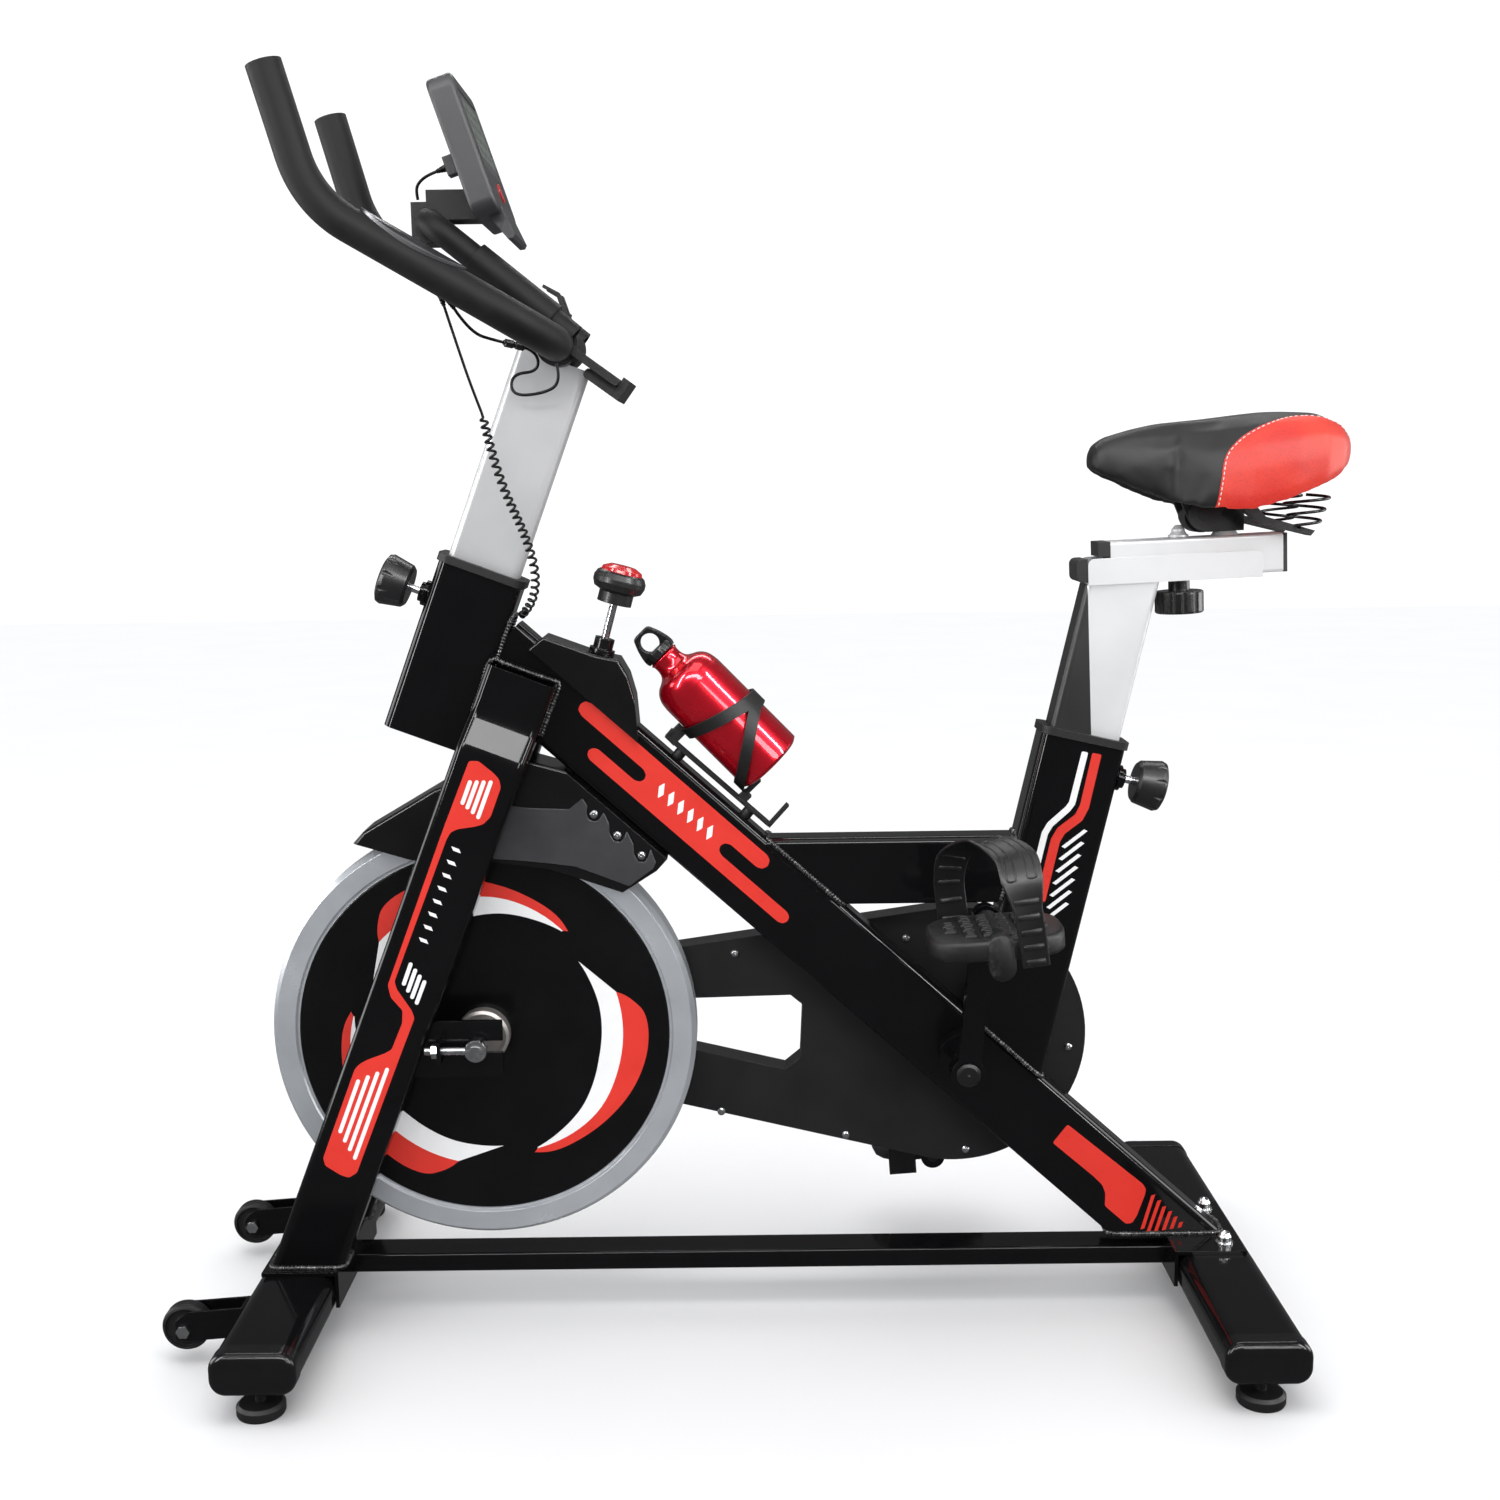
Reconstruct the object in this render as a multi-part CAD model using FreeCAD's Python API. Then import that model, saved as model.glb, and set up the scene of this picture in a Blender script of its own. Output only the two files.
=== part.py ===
import FreeCAD, Part
import math
import os

from FreeCAD import Placement, Rotation, Vector

os.makedirs("parts", exist_ok=True)

# Indoor spin bike. Millimetres, +X towards the flywheel end, +Y towards the rider's left, +Z up.
# The origin is on the floor under the middle of the bike.

# ---- driving dimensions ----
GAP = 0.3              # free play between parts that move on each other
WALL = 2.0             # wall of the frame tubes

WHEEL_X, WHEEL_Z = 275.0, 303.0
WHEEL_R, FACE_R = 219.0, 190.0
WHEEL_INNER_Y, WHEEL_OUTER_Y = -15.0, 21.0
AXLE_R = 6.0

CRANK_X, CRANK_Z = -215.0, 279.0
CRANK_LENGTH = 160.0
CRANK_LEAN = 5.8       # degrees that the left crank leans rearward of upright
ARM_INNER_Y, ARM_OUTER_Y = 84.0, 98.0
PEDAL_INNER_Y, PEDAL_OUTER_Y = 106.0, 206.0

HEAD_LEAN, HEAD_TOP = 20.7, Vector(259.5, 0, 781.8)
SEAT_LEAN, SEAT_TOP = 13.0, Vector(-340.0, 0, 607.3)
SLEEVE_X, SLEEVE_Y = 86.0, 50.0
POST_X, POST_Y = 72.0, 38.0
HEAD_LENGTH = 183.0
COLLAR = 8.0           # height of the plastic collar on top of each sleeve

MAIN_RISE = 42.2       # degrees that the main tube climbs towards the front
MAIN_POINT = Vector(8.2, 0, 474.4)
MAIN_HIGH, MAIN_WIDE = 80.0, 40.0

FORK_LEAN, FORK_POINT = 21.4, Vector(326.0, 0, 406.3)
FORK_X, FORK_Y = 70.0, 40.0
FORK_TOP_IN, FORK_FOOT_IN = 20.0, 38.0   # distance of the leg's inner face from the middle plane
PLATE_TOP = 74.0       # top of the cradle plates, where the frame stands on the stabilisers

STAB_Z, STAB_HIGH, STAB_WIDE, STAB_HALF = 50.0, 40.0, 80.0, 237.0
FRONT_X, REAR_X = 466.0, -477.0
CAP_LENGTH = 13.0
FOOT_Y, FOOT_R, FOOT_THICK = 223.0, 23.0, 12.0

COVER_IN, COVER_OUT = -27.0, -57.0       # faces of the belt cover
COVER_BIG_R, COVER_SMALL_R = 139.0, 47.0
COVER_WALL = 2.5
POST_R = 4.0           # screw posts inside the belt cover
BELT_IN, BELT_OUT = -34.0, -48.0
BIG_PULLEY_R, SMALL_PULLEY_R, BELT_THICK = 100.0, 30.0, 4.0

BRAKE_LEAN, KNOB_CENTRE = 15.6, Vector(125.8, 0, 763.9)
BRAKE_ROD_LENGTH = 250.0
BOTTLE_LEAN, BOTTLE_BASE = 44.0, Vector(-24.8, 0, 577.3)
BOTTLE_R = 36.5
RAIL_LEAN, RAIL_POINT = 2.3, Vector(-374.6, 0, 757.0)
SADDLE_PIVOT = Vector(-452.0, 0, 823.0)

BAR_R = 16.5
GRIP_END = Vector(421.4, 124, 1236)
GRIP_BEND = Vector(388.6, 121, 1117)
BAR_CORNER = Vector(177.0, 116, 994)
LOOP_Y, LOOP_R = 45.0, 12.5
LOOP_FOOT, LOOP_TOP = Vector(160.0, 0, 1000.0), Vector(298.0, 0, 1112.0)

TRANSPORT_X, TRANSPORT_Y, TRANSPORT_Z, TRANSPORT_R = 566.0, 121.0, 37.0, 24.0
CONSOLE_LEAN, CONSOLE_FOOT = -18.5, Vector(236.0, 0, 1112.0)
CONSOLE_HIGH, CONSOLE_WIDE, CONSOLE_THICK = 132.0, 136.0, 26.0

UP = Vector(0, 0, 1)
ALONG_Y = Vector(0, 1, 0)


# ---- building blocks ----
def save(name, *solids):
    """Write one node. Its solids stay separate pieces."""
    whole = Part.makeCompound([piece for solid in solids for piece in solid.Solids])
    for piece in whole.Solids:
        if not piece.isValid() or piece.Volume < 1:
            print("BAD", name, piece.isValid(), round(piece.Volume, 2))
    whole.exportStep("parts/" + name + ".step")
    print(name, len(whole.Solids), round(whole.Volume / 1000, 1), "cm3")
    return whole


def box(x0, x1, y0, y1, z0, z1):
    return Part.makeBox(x1 - x0, y1 - y0, z1 - z0, Vector(x0, y0, z0))


def rod(start, end, radius):
    axis = end.sub(start)
    return Part.makeCylinder(radius, axis.Length, start, axis)


def cross_rod(x, z, y0, y1, radius):
    """A round bar across the bike."""
    return rod(Vector(x, y0, z), Vector(x, y1, z), radius)


def placed(shape, lean, point):
    """Lean a shape rearward by so many degrees and move its own origin to a point."""
    moved = shape.copy()
    moved.Placement = Placement(point, Rotation(ALONG_Y, -lean)).multiply(shape.Placement)
    return moved


def shifted(shape, x, y, z):
    moved = shape.copy()
    moved.translate(Vector(x, y, z))
    return moved


def mirrored(shape):
    """The same piece on the rider's other side."""
    return shape.mirror(Vector(0, 0, 0), ALONG_Y)


def bar(wide_x, wide_y, z0, z1, radius):
    """An upright bar with rounded long edges, centred on the Z axis."""
    solid = box(-wide_x / 2, wide_x / 2, -wide_y / 2, wide_y / 2, z0, z1)
    long_edges = [edge for edge in solid.Edges if abs(edge.tangentAt(edge.FirstParameter).z) > 0.9]
    return solid.makeFillet(radius, long_edges)


def tube(wide_x, wide_y, z0, z1, radius, wall=WALL):
    bore = bar(wide_x - 2 * wall, wide_y - 2 * wall, z0 - 1, z1 + 1, radius - wall)
    return bar(wide_x, wide_y, z0, z1, radius).cut(bore)


def side_prism(points, y0, y1):
    """Extrude an outline of (x, z) points across the bike."""
    corners = [Vector(x, y0, z) for x, z in points]
    face = Part.Face(Part.makePolygon(corners + corners[:1]))
    return face.extrude(Vector(0, y1 - y0, 0))


def turned(profile, x=0.0, z=0.0):
    """Revolve (radius, y) points about an axis that lies across the bike."""
    corners = [Vector(x + radius, y, z) for radius, y in profile]
    face = Part.Face(Part.makePolygon(corners + corners[:1]))
    return face.revolve(Vector(x, 0, z), ALONG_Y, 360)


def spun(profile):
    """Revolve (radius, z) points about the Z axis."""
    corners = [Vector(radius, 0, z) for radius, z in profile]
    face = Part.Face(Part.makePolygon(corners + corners[:1]))
    return face.revolve(Vector(0, 0, 0), UP, 360)


def rounded_path(points, radii):
    """A wire of straight runs joined by tangent arcs, one radius for each inner point."""
    edges = []
    start = points[0]
    for before, corner, after, radius in zip(points, points[1:], points[2:], radii):
        into = corner.sub(before).normalize()
        away = after.sub(corner).normalize()
        half = into.getAngle(away) / 2
        cut = radius * math.tan(half)
        first = corner.sub(into * cut)
        last = corner.add(away * cut)
        middle = corner.add(away.sub(into).normalize() * (radius / math.cos(half) - radius))
        if first.sub(start).Length > 0.01:
            edges.append(Part.LineSegment(start, first).toShape())
        edges.append(Part.Arc(first, middle, last).toShape())
        start = last
    edges.append(Part.LineSegment(start, points[-1]).toShape())
    return Part.Wire(edges)


def edges_along_y(shape):
    return [edge for edge in shape.Edges if abs(edge.tangentAt(edge.FirstParameter).y) > 0.9]


def pipe(path, radius):
    start = path.Edges[0].valueAt(path.Edges[0].FirstParameter)
    heading = path.Edges[0].tangentAt(path.Edges[0].FirstParameter)
    ring = Part.Wire(Part.makeCircle(radius, start, heading))
    return path.makePipeShell([ring], True, False)


def fitted_radii(points):
    """The largest arc that the shorter run beside each inner point leaves room for."""
    radii = []
    for before, corner, after in zip(points, points[1:], points[2:]):
        into = corner.sub(before)
        away = after.sub(corner)
        half = into.getAngle(away) / 2
        radii.append(0.45 * min(into.Length, away.Length) / math.tan(half))
    return radii


def cord(name, points, radius):
    radii = fitted_radii(points)
    path = rounded_path(points, radii)
    solid = pipe(path, radius)
    wanted = math.pi * radius ** 2 * path.Length
    print(name, "length", round(path.Length, 1), "arcs", [round(r, 1) for r in radii])
    print(name, "volume over section x length", round(solid.Volume / wanted, 4))
    return solid


def dome_nut(radius, height):
    """A domed nut that stands on z = 0."""
    return spun([(0, 0), (radius, 0), (radius, height * 0.5), (radius * 0.7, height * 0.85), (0, height)])


# ---- frame ----
def main_bar(extra=0.0, length=900.0):
    """The main tube's outer form. Its own Z runs up the tube from MAIN_POINT."""
    solid = bar(MAIN_HIGH + extra, MAIN_WIDE + extra, -length, length, 8)
    return placed(solid, MAIN_RISE - 90, MAIN_POINT)


def main_place(shape):
    return placed(shape, MAIN_RISE - 90, MAIN_POINT)


def head_bar():
    return placed(bar(SLEEVE_X, SLEEVE_Y, -HEAD_LENGTH, -COLLAR, 10), HEAD_LEAN, HEAD_TOP)


def brake_line(radius):
    """A bar along the brake rod's line, for the rod and its holes."""
    return placed(rod(Vector(0, 0, -260), Vector(0, 0, 0), radius), BRAKE_LEAN, KNOB_CENTRE)


def crank_rod(y0, y1, radius):
    return cross_rod(CRANK_X, CRANK_Z, y0, y1, radius)


SHELL_R = 22.0


def make_main_tube():
    hollow = main_place(tube(MAIN_HIGH, MAIN_WIDE, -760, 330, 8))
    ground = box(-900, 900, -100, 100, -400, PLATE_TOP)
    solid = hollow.cut([head_bar(), ground, crank_rod(-60, 60, SHELL_R), brake_line(4.6)])
    keep = [piece for piece in solid.Solids if piece.CenterOfMass.x < 150]
    save("main_diagonal_tube", max(keep, key=lambda piece: piece.Volume))


def pin_boss(height_below_top, rear):
    """The threaded boss that a pop-pin slides in, square to the sleeve's face."""
    side = -1 if rear else 1
    face = side * SLEEVE_X / 2
    def along(reach):
        return Vector(face + side * reach, 0, height_below_top)
    boss = rod(along(-1.5), along(10), 10)
    return boss.fuse(rod(along(2), along(6), 13))


def pin_bore(height_below_top, rear, radius):
    side = -1 if rear else 1
    return rod(Vector(side * POST_X / 4, 0, height_below_top), Vector(side * 90, 0, height_below_top), radius)


PIN_R = 4.0
HEAD_PIN_Z, SEAT_PIN_Z = -46.0, -39.0


def make_head_tube():
    sleeve = tube(SLEEVE_X, SLEEVE_Y, -HEAD_LENGTH, -COLLAR, 10)
    sleeve = sleeve.fuse(pin_boss(HEAD_PIN_Z, False)).cut(pin_bore(HEAD_PIN_Z, False, PIN_R + GAP))
    sleeve = sleeve.cut(bar(SLEEVE_X - 2 * WALL, SLEEVE_Y - 2 * WALL, -HEAD_LENGTH - 1, 1, 8))
    save("head_tube", placed(sleeve, HEAD_LEAN, HEAD_TOP))


def seat_bar(wide=SLEEVE_X, deep=SLEEVE_Y, top=-COLLAR):
    return placed(bar(wide, deep, -460, top, 10), SEAT_LEAN, SEAT_TOP)


def make_seat_tube():
    sleeve = tube(SLEEVE_X, SLEEVE_Y, -460, -COLLAR, 10)
    sleeve = sleeve.fuse(pin_boss(SEAT_PIN_Z, True)).cut(pin_bore(SEAT_PIN_Z, True, PIN_R + GAP))
    sleeve = sleeve.cut(bar(SLEEVE_X - 2 * WALL, SLEEVE_Y - 2 * WALL, -461, 1, 8))
    solid = placed(sleeve, SEAT_LEAN, SEAT_TOP)
    below = main_place(box(-MAIN_HIGH / 2, 400, -100, 100, -900, 900))
    solid = solid.cut(below)
    save("seat_tube", max(solid.Solids, key=lambda piece: piece.Volume))


def sleeve_collar(pin_z, rear):
    """Plastic liner with a rim: it guides the post and covers the sleeve's top edge."""
    rim = bar(SLEEVE_X + 5, SLEEVE_Y + 5, -COLLAR, 0, 12)
    rim = rim.fuse(bar(SLEEVE_X - 2 * WALL - 0.1, SLEEVE_Y - 2 * WALL - 0.1, -70, -COLLAR, 8))
    rim = rim.cut(bar(POST_X + 2 * GAP, POST_Y + 2 * GAP, -71, 1, 7.3))
    return rim.cut(pin_bore(pin_z, rear, PIN_R + GAP))


def make_collars():
    head = placed(sleeve_collar(HEAD_PIN_Z, False), HEAD_LEAN, HEAD_TOP)
    seat = placed(sleeve_collar(SEAT_PIN_Z, True), SEAT_LEAN, SEAT_TOP)
    save("sleeve_collars", head, seat)


FORK_KINK_LOW, FORK_KINK_HIGH = 205.0, 245.0   # along the leg, from FORK_POINT


def fork_profile(inset):
    """The leg's outline seen along its wide side, as a face in its own YZ plane."""
    lower_in, upper_in = FORK_FOOT_IN + inset, FORK_TOP_IN + inset
    lower_out, upper_out = FORK_FOOT_IN + FORK_Y - inset, FORK_TOP_IN + FORK_Y - inset
    low, high = -380.0, 330.0
    inner = [Vector(0, lower_in, low), Vector(0, lower_in, FORK_KINK_LOW),
             Vector(0, upper_in, FORK_KINK_HIGH), Vector(0, upper_in, high)]
    outer = [Vector(0, upper_out, high), Vector(0, upper_out, FORK_KINK_HIGH),
             Vector(0, lower_out, FORK_KINK_LOW), Vector(0, lower_out, low)]
    edges = list(rounded_path(inner, [38, 38]).Edges)
    edges.append(Part.LineSegment(inner[-1], outer[0]).toShape())
    edges += list(rounded_path(outer, [38, 38]).Edges)
    edges.append(Part.LineSegment(outer[-1], inner[0]).toShape())
    return Part.Face(Part.Wire(edges))


def fork_bar(inset, radius):
    """The leg's form drawn in by an inset. Its long edges, all on the two wide sides, are rounded."""
    wide = FORK_X - 2 * inset
    solid = shifted(fork_profile(inset), -wide / 2, 0, 0).extrude(Vector(wide, 0, 0))
    long_edges = [edge for edge in solid.Edges if edge.BoundBox.XLength < 0.01 and edge.BoundBox.ZLength > 1]
    return solid.makeFillet(radius, long_edges)


def fork_leg():
    leg = placed(fork_bar(0, 8).cut(fork_bar(WALL, 6)), FORK_LEAN, FORK_POINT)
    top = placed(box(-200, 200, -100, 100, 291, 900), FORK_LEAN, FORK_POINT)
    foot = box(-900, 900, -200, 200, -400, PLATE_TOP)
    leg = leg.cut([top, foot, head_bar(), main_bar()])
    return max(leg.Solids, key=lambda piece: piece.Volume)


def make_fork():
    leg = fork_leg()
    save("fork_legs", leg, mirrored(leg))


TOP_TUBE_Z = 468.0


def make_top_tube():
    lying = bar(70, MAIN_WIDE, -400, 400, 8).cut(bar(66, MAIN_WIDE - 4, -401, 401, 6))
    solid = placed(lying, 90, Vector(-180, 0, TOP_TUBE_Z))
    solid = solid.cut([main_bar(), seat_bar()])
    save("top_tube", [piece for piece in solid.Solids if -320 < piece.CenterOfMass.x < -40][0])


RAIL_X0, RAIL_X1, RAIL_Z0, RAIL_Z1 = -433.0, 422.0, 41.0, 61.0


def make_base_rail():
    outer = box(RAIL_X0, RAIL_X1, -20, 20, RAIL_Z0, RAIL_Z1)
    long_edges = [edge for edge in outer.Edges if abs(edge.tangentAt(edge.FirstParameter).x) > 0.9]
    outer = outer.makeFillet(3, long_edges)
    inner = box(RAIL_X0 - 1, RAIL_X1 + 1, -18, 18, RAIL_Z0 + 2, RAIL_Z1 - 2)
    save("base_rail", outer.cut(inner))


def across(shape):
    """Lay an upright bar across the bike: its Z becomes +Y."""
    moved = shape.copy()
    moved.rotate(Vector(0, 0, 0), Vector(1, 0, 0), -90)
    return moved


def foot_bolt_bores(x):
    return [rod(Vector(x, y, 0), Vector(x, y, STAB_Z), 5 + GAP) for y in (-FOOT_Y, FOOT_Y)]


CRADLE_BOLTS = ((REAR_X - 12, 42.0), (FRONT_X - 2, 12.0))   # x and half spacing of each bolt pair


def make_stabilizers():
    bodies = []
    for x in (FRONT_X, REAR_X):
        body = across(tube(STAB_WIDE, STAB_HIGH, -STAB_HALF, STAB_HALF, 15))
        body = shifted(body, x, 0, STAB_Z).cut(foot_bolt_bores(x))
        for bolt_x, bolt_y in CRADLE_BOLTS:
            holes = [rod(Vector(bolt_x, y, 0), Vector(bolt_x, y, 90), 4.2) for y in (-bolt_y, bolt_y)]
            body = body.cut(holes)
        bodies.append(body)
    save("stabilizer_tubes", *bodies)


def end_cap(x, side):
    shell = bar(STAB_WIDE + 2, STAB_HIGH + 2, -8, CAP_LENGTH, 16)
    outer_rim = [edge for edge in shell.Edges if edge.BoundBox.ZMin > CAP_LENGTH - 0.1]
    shell = shell.makeFillet(7, outer_rim)
    tube_end = bar(STAB_WIDE + 0.1, STAB_HIGH + 0.1, -9, 0, 15)
    cap = shifted(across(shell.cut(tube_end)), x, STAB_HALF, STAB_Z)
    return cap if side > 0 else mirrored(cap)


def make_end_caps():
    save("stabilizer_end_caps", *[end_cap(x, side) for x in (FRONT_X, REAR_X) for side in (-1, 1)])


def cradle(x0, x1, half_y, flange_x, flange_thick):
    """A plate on the stabiliser's top with a flange bent down on its inner side."""
    top = box(x0, x1, -half_y, half_y, STAB_Z + STAB_HIGH / 2, PLATE_TOP)
    flange = box(flange_x, flange_x + flange_thick, -half_y, half_y, 36, PLATE_TOP)
    plate = top.fuse(flange).removeSplitter()
    return plate


def wheel_bolts():
    """A bolt through each transport wheel's bracket, with a hexagon at both ends."""
    x, z = TRANSPORT_X, TRANSPORT_Z
    bolts = []
    for y in (-TRANSPORT_Y, TRANSPORT_Y):
        shank = cross_rod(x, z, y - 14, y + 14, 4)
        bolts.append(shank.fuse([hexagon(7, y + 13.6, y + 18, x, z), hexagon(7, y - 18, y - 13.6, x, z)]))
    return bolts


def make_cradles():
    rear = cradle(REAR_X - 30, REAR_X + STAB_WIDE / 2 + 4, 62, REAR_X + STAB_WIDE / 2 + 0.1, 3.9)
    rear = rear.fuse(box(REAR_X + STAB_WIDE / 2, -372, -21, 21, PLATE_TOP - 4, PLATE_TOP)).removeSplitter()
    front = cradle(FRONT_X - STAB_WIDE / 2 - 4, FRONT_X + 34, 88, FRONT_X - STAB_WIDE / 2 - 4, 3.9)
    bolts = []
    for bolt_x, bolt_y in CRADLE_BOLTS:
        for y in (-bolt_y, bolt_y):
            hole = rod(Vector(bolt_x, y, 60), Vector(bolt_x, y, 90), 4.2)
            rear = rear.cut(hole)
            front = front.cut(hole)
            shank = rod(Vector(bolt_x, y, 32.2), Vector(bolt_x, y, PLATE_TOP + 1.6), 4)
            washer = rod(Vector(bolt_x, y, PLATE_TOP), Vector(bolt_x, y, PLATE_TOP + 1.6), 9)
            nut = shifted(dome_nut(7, 12), bolt_x, y, PLATE_TOP + 1.6)
            bolts.append(shank.fuse([washer, nut]))
    save("stabilizer_cradles", rear, front)
    save("frame_bolts", *bolts, *wheel_bolts())


BRACKET_LEFT, BRACKET_RIGHT = 40.0, -33.4     # outer faces of the crank bearing cups
CUP_LIP, CUP_DEPTH = 4.0, 20.0


def make_bottom_bracket():
    bore = crank_rod(-50, 50, 8.08)
    shell = crank_rod(BRACKET_RIGHT + CUP_LIP, BRACKET_LEFT - CUP_LIP, SHELL_R)
    shell = shell.cut(crank_rod(-50, 50, SHELL_R - 3))
    left = crank_rod(BRACKET_LEFT - CUP_DEPTH, BRACKET_LEFT, SHELL_R - 3.05)
    left = left.fuse(crank_rod(BRACKET_LEFT - CUP_LIP, BRACKET_LEFT, SHELL_R)).cut(bore)
    right = crank_rod(BRACKET_RIGHT, BRACKET_RIGHT + CUP_DEPTH, SHELL_R - 3.05)
    right = right.fuse(crank_rod(BRACKET_RIGHT, BRACKET_RIGHT + CUP_LIP, SHELL_R)).cut(bore)
    save("bottom_bracket", shell, left, right)


# ---- flywheel and its axle ----
BRACKET_IN, BRACKET_OUT = 60.0, 65.0


def axle_bracket():
    """Plate with a slot that opens to the rear, and the lug that the tensioner pulls on."""
    plate = box(250, 400, BRACKET_IN, BRACKET_OUT, 272, 330)
    slot = cross_rod(WHEEL_X, WHEEL_Z, 0, 100, AXLE_R + 0.3)
    slot = slot.fuse(box(200, WHEEL_X, 0, 100, WHEEL_Z - AXLE_R - 0.3, WHEEL_Z + AXLE_R + 0.3))
    plate = plate.cut(slot)
    plate = plate.cut(placed(bar(FORK_X, 200, -400, 400, 1), FORK_LEAN, FORK_POINT))
    plate = [piece for piece in plate.Solids if piece.CenterOfMass.x < 330][0]
    lug = box(309, 313, BRACKET_OUT - 2, 86, 292, 314)
    lug = lug.cut(rod(Vector(300, 77, WHEEL_Z), Vector(320, 77, WHEEL_Z), 4.3))
    return plate.fuse(lug)


def hexagon(radius, y0, y1, x, z):
    corners = []
    for step in range(6):
        angle = math.radians(60 * step)
        corners.append((x + radius * math.cos(angle), z + radius * math.sin(angle)))
    return side_prism(corners, y0, y1)


def tensioner():
    """Eye bolt around the axle's end, its shank through the lug, and two nuts on the shank."""
    eye = cross_rod(WHEEL_X, WHEEL_Z, 73.5, 80.5, 11).cut(cross_rod(WHEEL_X, WHEEL_Z, 70, 90, AXLE_R + 0.1))
    shank = rod(Vector(WHEEL_X + 9, 77, WHEEL_Z), Vector(326, 77, WHEEL_Z), 4)
    shank = shank.cut(cross_rod(WHEEL_X, WHEEL_Z, 60, 90, AXLE_R + 0.1))
    nut = hexagon(7.5, 0, 6, 0, 0)
    nut.rotate(Vector(0, 0, 0), UP, -90)
    nut = shifted(nut, 313.1, 77, WHEEL_Z).cut(rod(Vector(300, 77, WHEEL_Z), Vector(340, 77, WHEEL_Z), 4))
    return eye.fuse(shank), nut


def make_axle():
    save("axle_brackets", axle_bracket(), mirrored(axle_bracket()))
    axle = cross_rod(WHEEL_X, WHEEL_Z, -82, 82, AXLE_R)
    pieces = [axle]
    for side in (-1, 1):
        y0, y1 = (65.2, 73.0) if side > 0 else (-73.0, -65.2)
        nut = hexagon(10.5, y0, y1, WHEEL_X, WHEEL_Z)
        pieces.append(nut.cut(cross_rod(WHEEL_X, WHEEL_Z, -90, 90, AXLE_R)))
    left = tensioner()
    save("flywheel_axle", *pieces, *left, *[mirrored(piece) for piece in left])


def make_flywheel():
    face_y = WHEEL_OUTER_Y - 2
    profile = [
        (27.3, face_y - 6), (FACE_R - 6, face_y - 6), (FACE_R - 5, WHEEL_INNER_Y),
        (WHEEL_R - 3, WHEEL_INNER_Y),
        (WHEEL_R, WHEEL_INNER_Y + 3), (WHEEL_R, WHEEL_OUTER_Y - 7), (WHEEL_R - 5, WHEEL_OUTER_Y),
        (FACE_R + 5, WHEEL_OUTER_Y), (FACE_R + 3, WHEEL_OUTER_Y - 3), (FACE_R + 1, WHEEL_OUTER_Y - 3),
        (FACE_R, face_y), (27.3, face_y),
    ]
    save("flywheel_disc", turned(profile, WHEEL_X, WHEEL_Z))
    barrel = [
        (AXLE_R + 0.08, -31.5), (20, -31.5), (20, face_y - 9), (44, face_y - 9), (44, face_y - 6.1),
        (27.2, face_y - 6.1), (27.2, face_y + 13), (24, face_y + 15), (20, face_y + 12),
        (AXLE_R + 0.08, face_y + 12),
    ]
    pulley = [
        (AXLE_R + 0.5, BELT_OUT - 2), (SMALL_PULLEY_R + 2.5, BELT_OUT - 2),
        (SMALL_PULLEY_R + 2.5, BELT_OUT - 0.5), (SMALL_PULLEY_R, BELT_OUT - 0.5),
        (SMALL_PULLEY_R, BELT_IN + 0.5), (SMALL_PULLEY_R + 2.5, BELT_IN + 0.5),
        (SMALL_PULLEY_R + 2.5, -31.6), (AXLE_R + 0.5, -31.6),
    ]
    save("flywheel_hub", turned(barrel, WHEEL_X, WHEEL_Z), turned(pulley, WHEEL_X, WHEEL_Z))


# ---- belt drive ----
def belt_outline(big, small):
    """Face between two wheels: both arcs and their tangents, in the plane y = 0."""
    run = Vector(WHEEL_X - CRANK_X, 0, WHEEL_Z - CRANK_Z)
    slope = math.atan2(run.z, run.x)
    spread = math.asin((big - small) / run.Length)
    points = []
    for radius, x, z in ((big, CRANK_X, CRANK_Z), (small, WHEEL_X, WHEEL_Z)):
        for side in (1, -1):
            angle = slope + side * (math.pi / 2 - spread)
            points.append(Vector(x + radius * math.cos(angle), 0, z + radius * math.sin(angle)))
    big_top, big_low, small_top, small_low = points
    rear = Vector(CRANK_X - big * math.cos(slope), 0, CRANK_Z - big * math.sin(slope))
    front = Vector(WHEEL_X + small * math.cos(slope), 0, WHEEL_Z + small * math.sin(slope))
    edges = [
        Part.LineSegment(big_top, small_top).toShape(), Part.Arc(small_top, front, small_low).toShape(),
        Part.LineSegment(small_low, big_low).toShape(), Part.Arc(big_low, rear, big_top).toShape(),
    ]
    return Part.Face(Part.Wire(edges))


def belt_slab(big, small, y0, y1):
    return shifted(belt_outline(big, small), 0, y0, 0).extrude(Vector(0, y1 - y0, 0))


def make_belt():
    outer = belt_slab(BIG_PULLEY_R + 0.3 + BELT_THICK, SMALL_PULLEY_R + 0.3 + BELT_THICK, BELT_OUT, BELT_IN)
    inner = belt_slab(BIG_PULLEY_R + 0.3, SMALL_PULLEY_R + 0.3, BELT_OUT - 1, BELT_IN + 1)
    save("drive_belt", outer.cut(inner))


COVER_WINDOW = [(150, 321), (-42, 325), (-55, 314), (-52, 256), (-36, 243), (150, 288)]
COVER_SCREWS = [(16, 371), (-164, 385), (33, 197), (-100, 169), (-228, 151), (-336, 264)]


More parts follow.
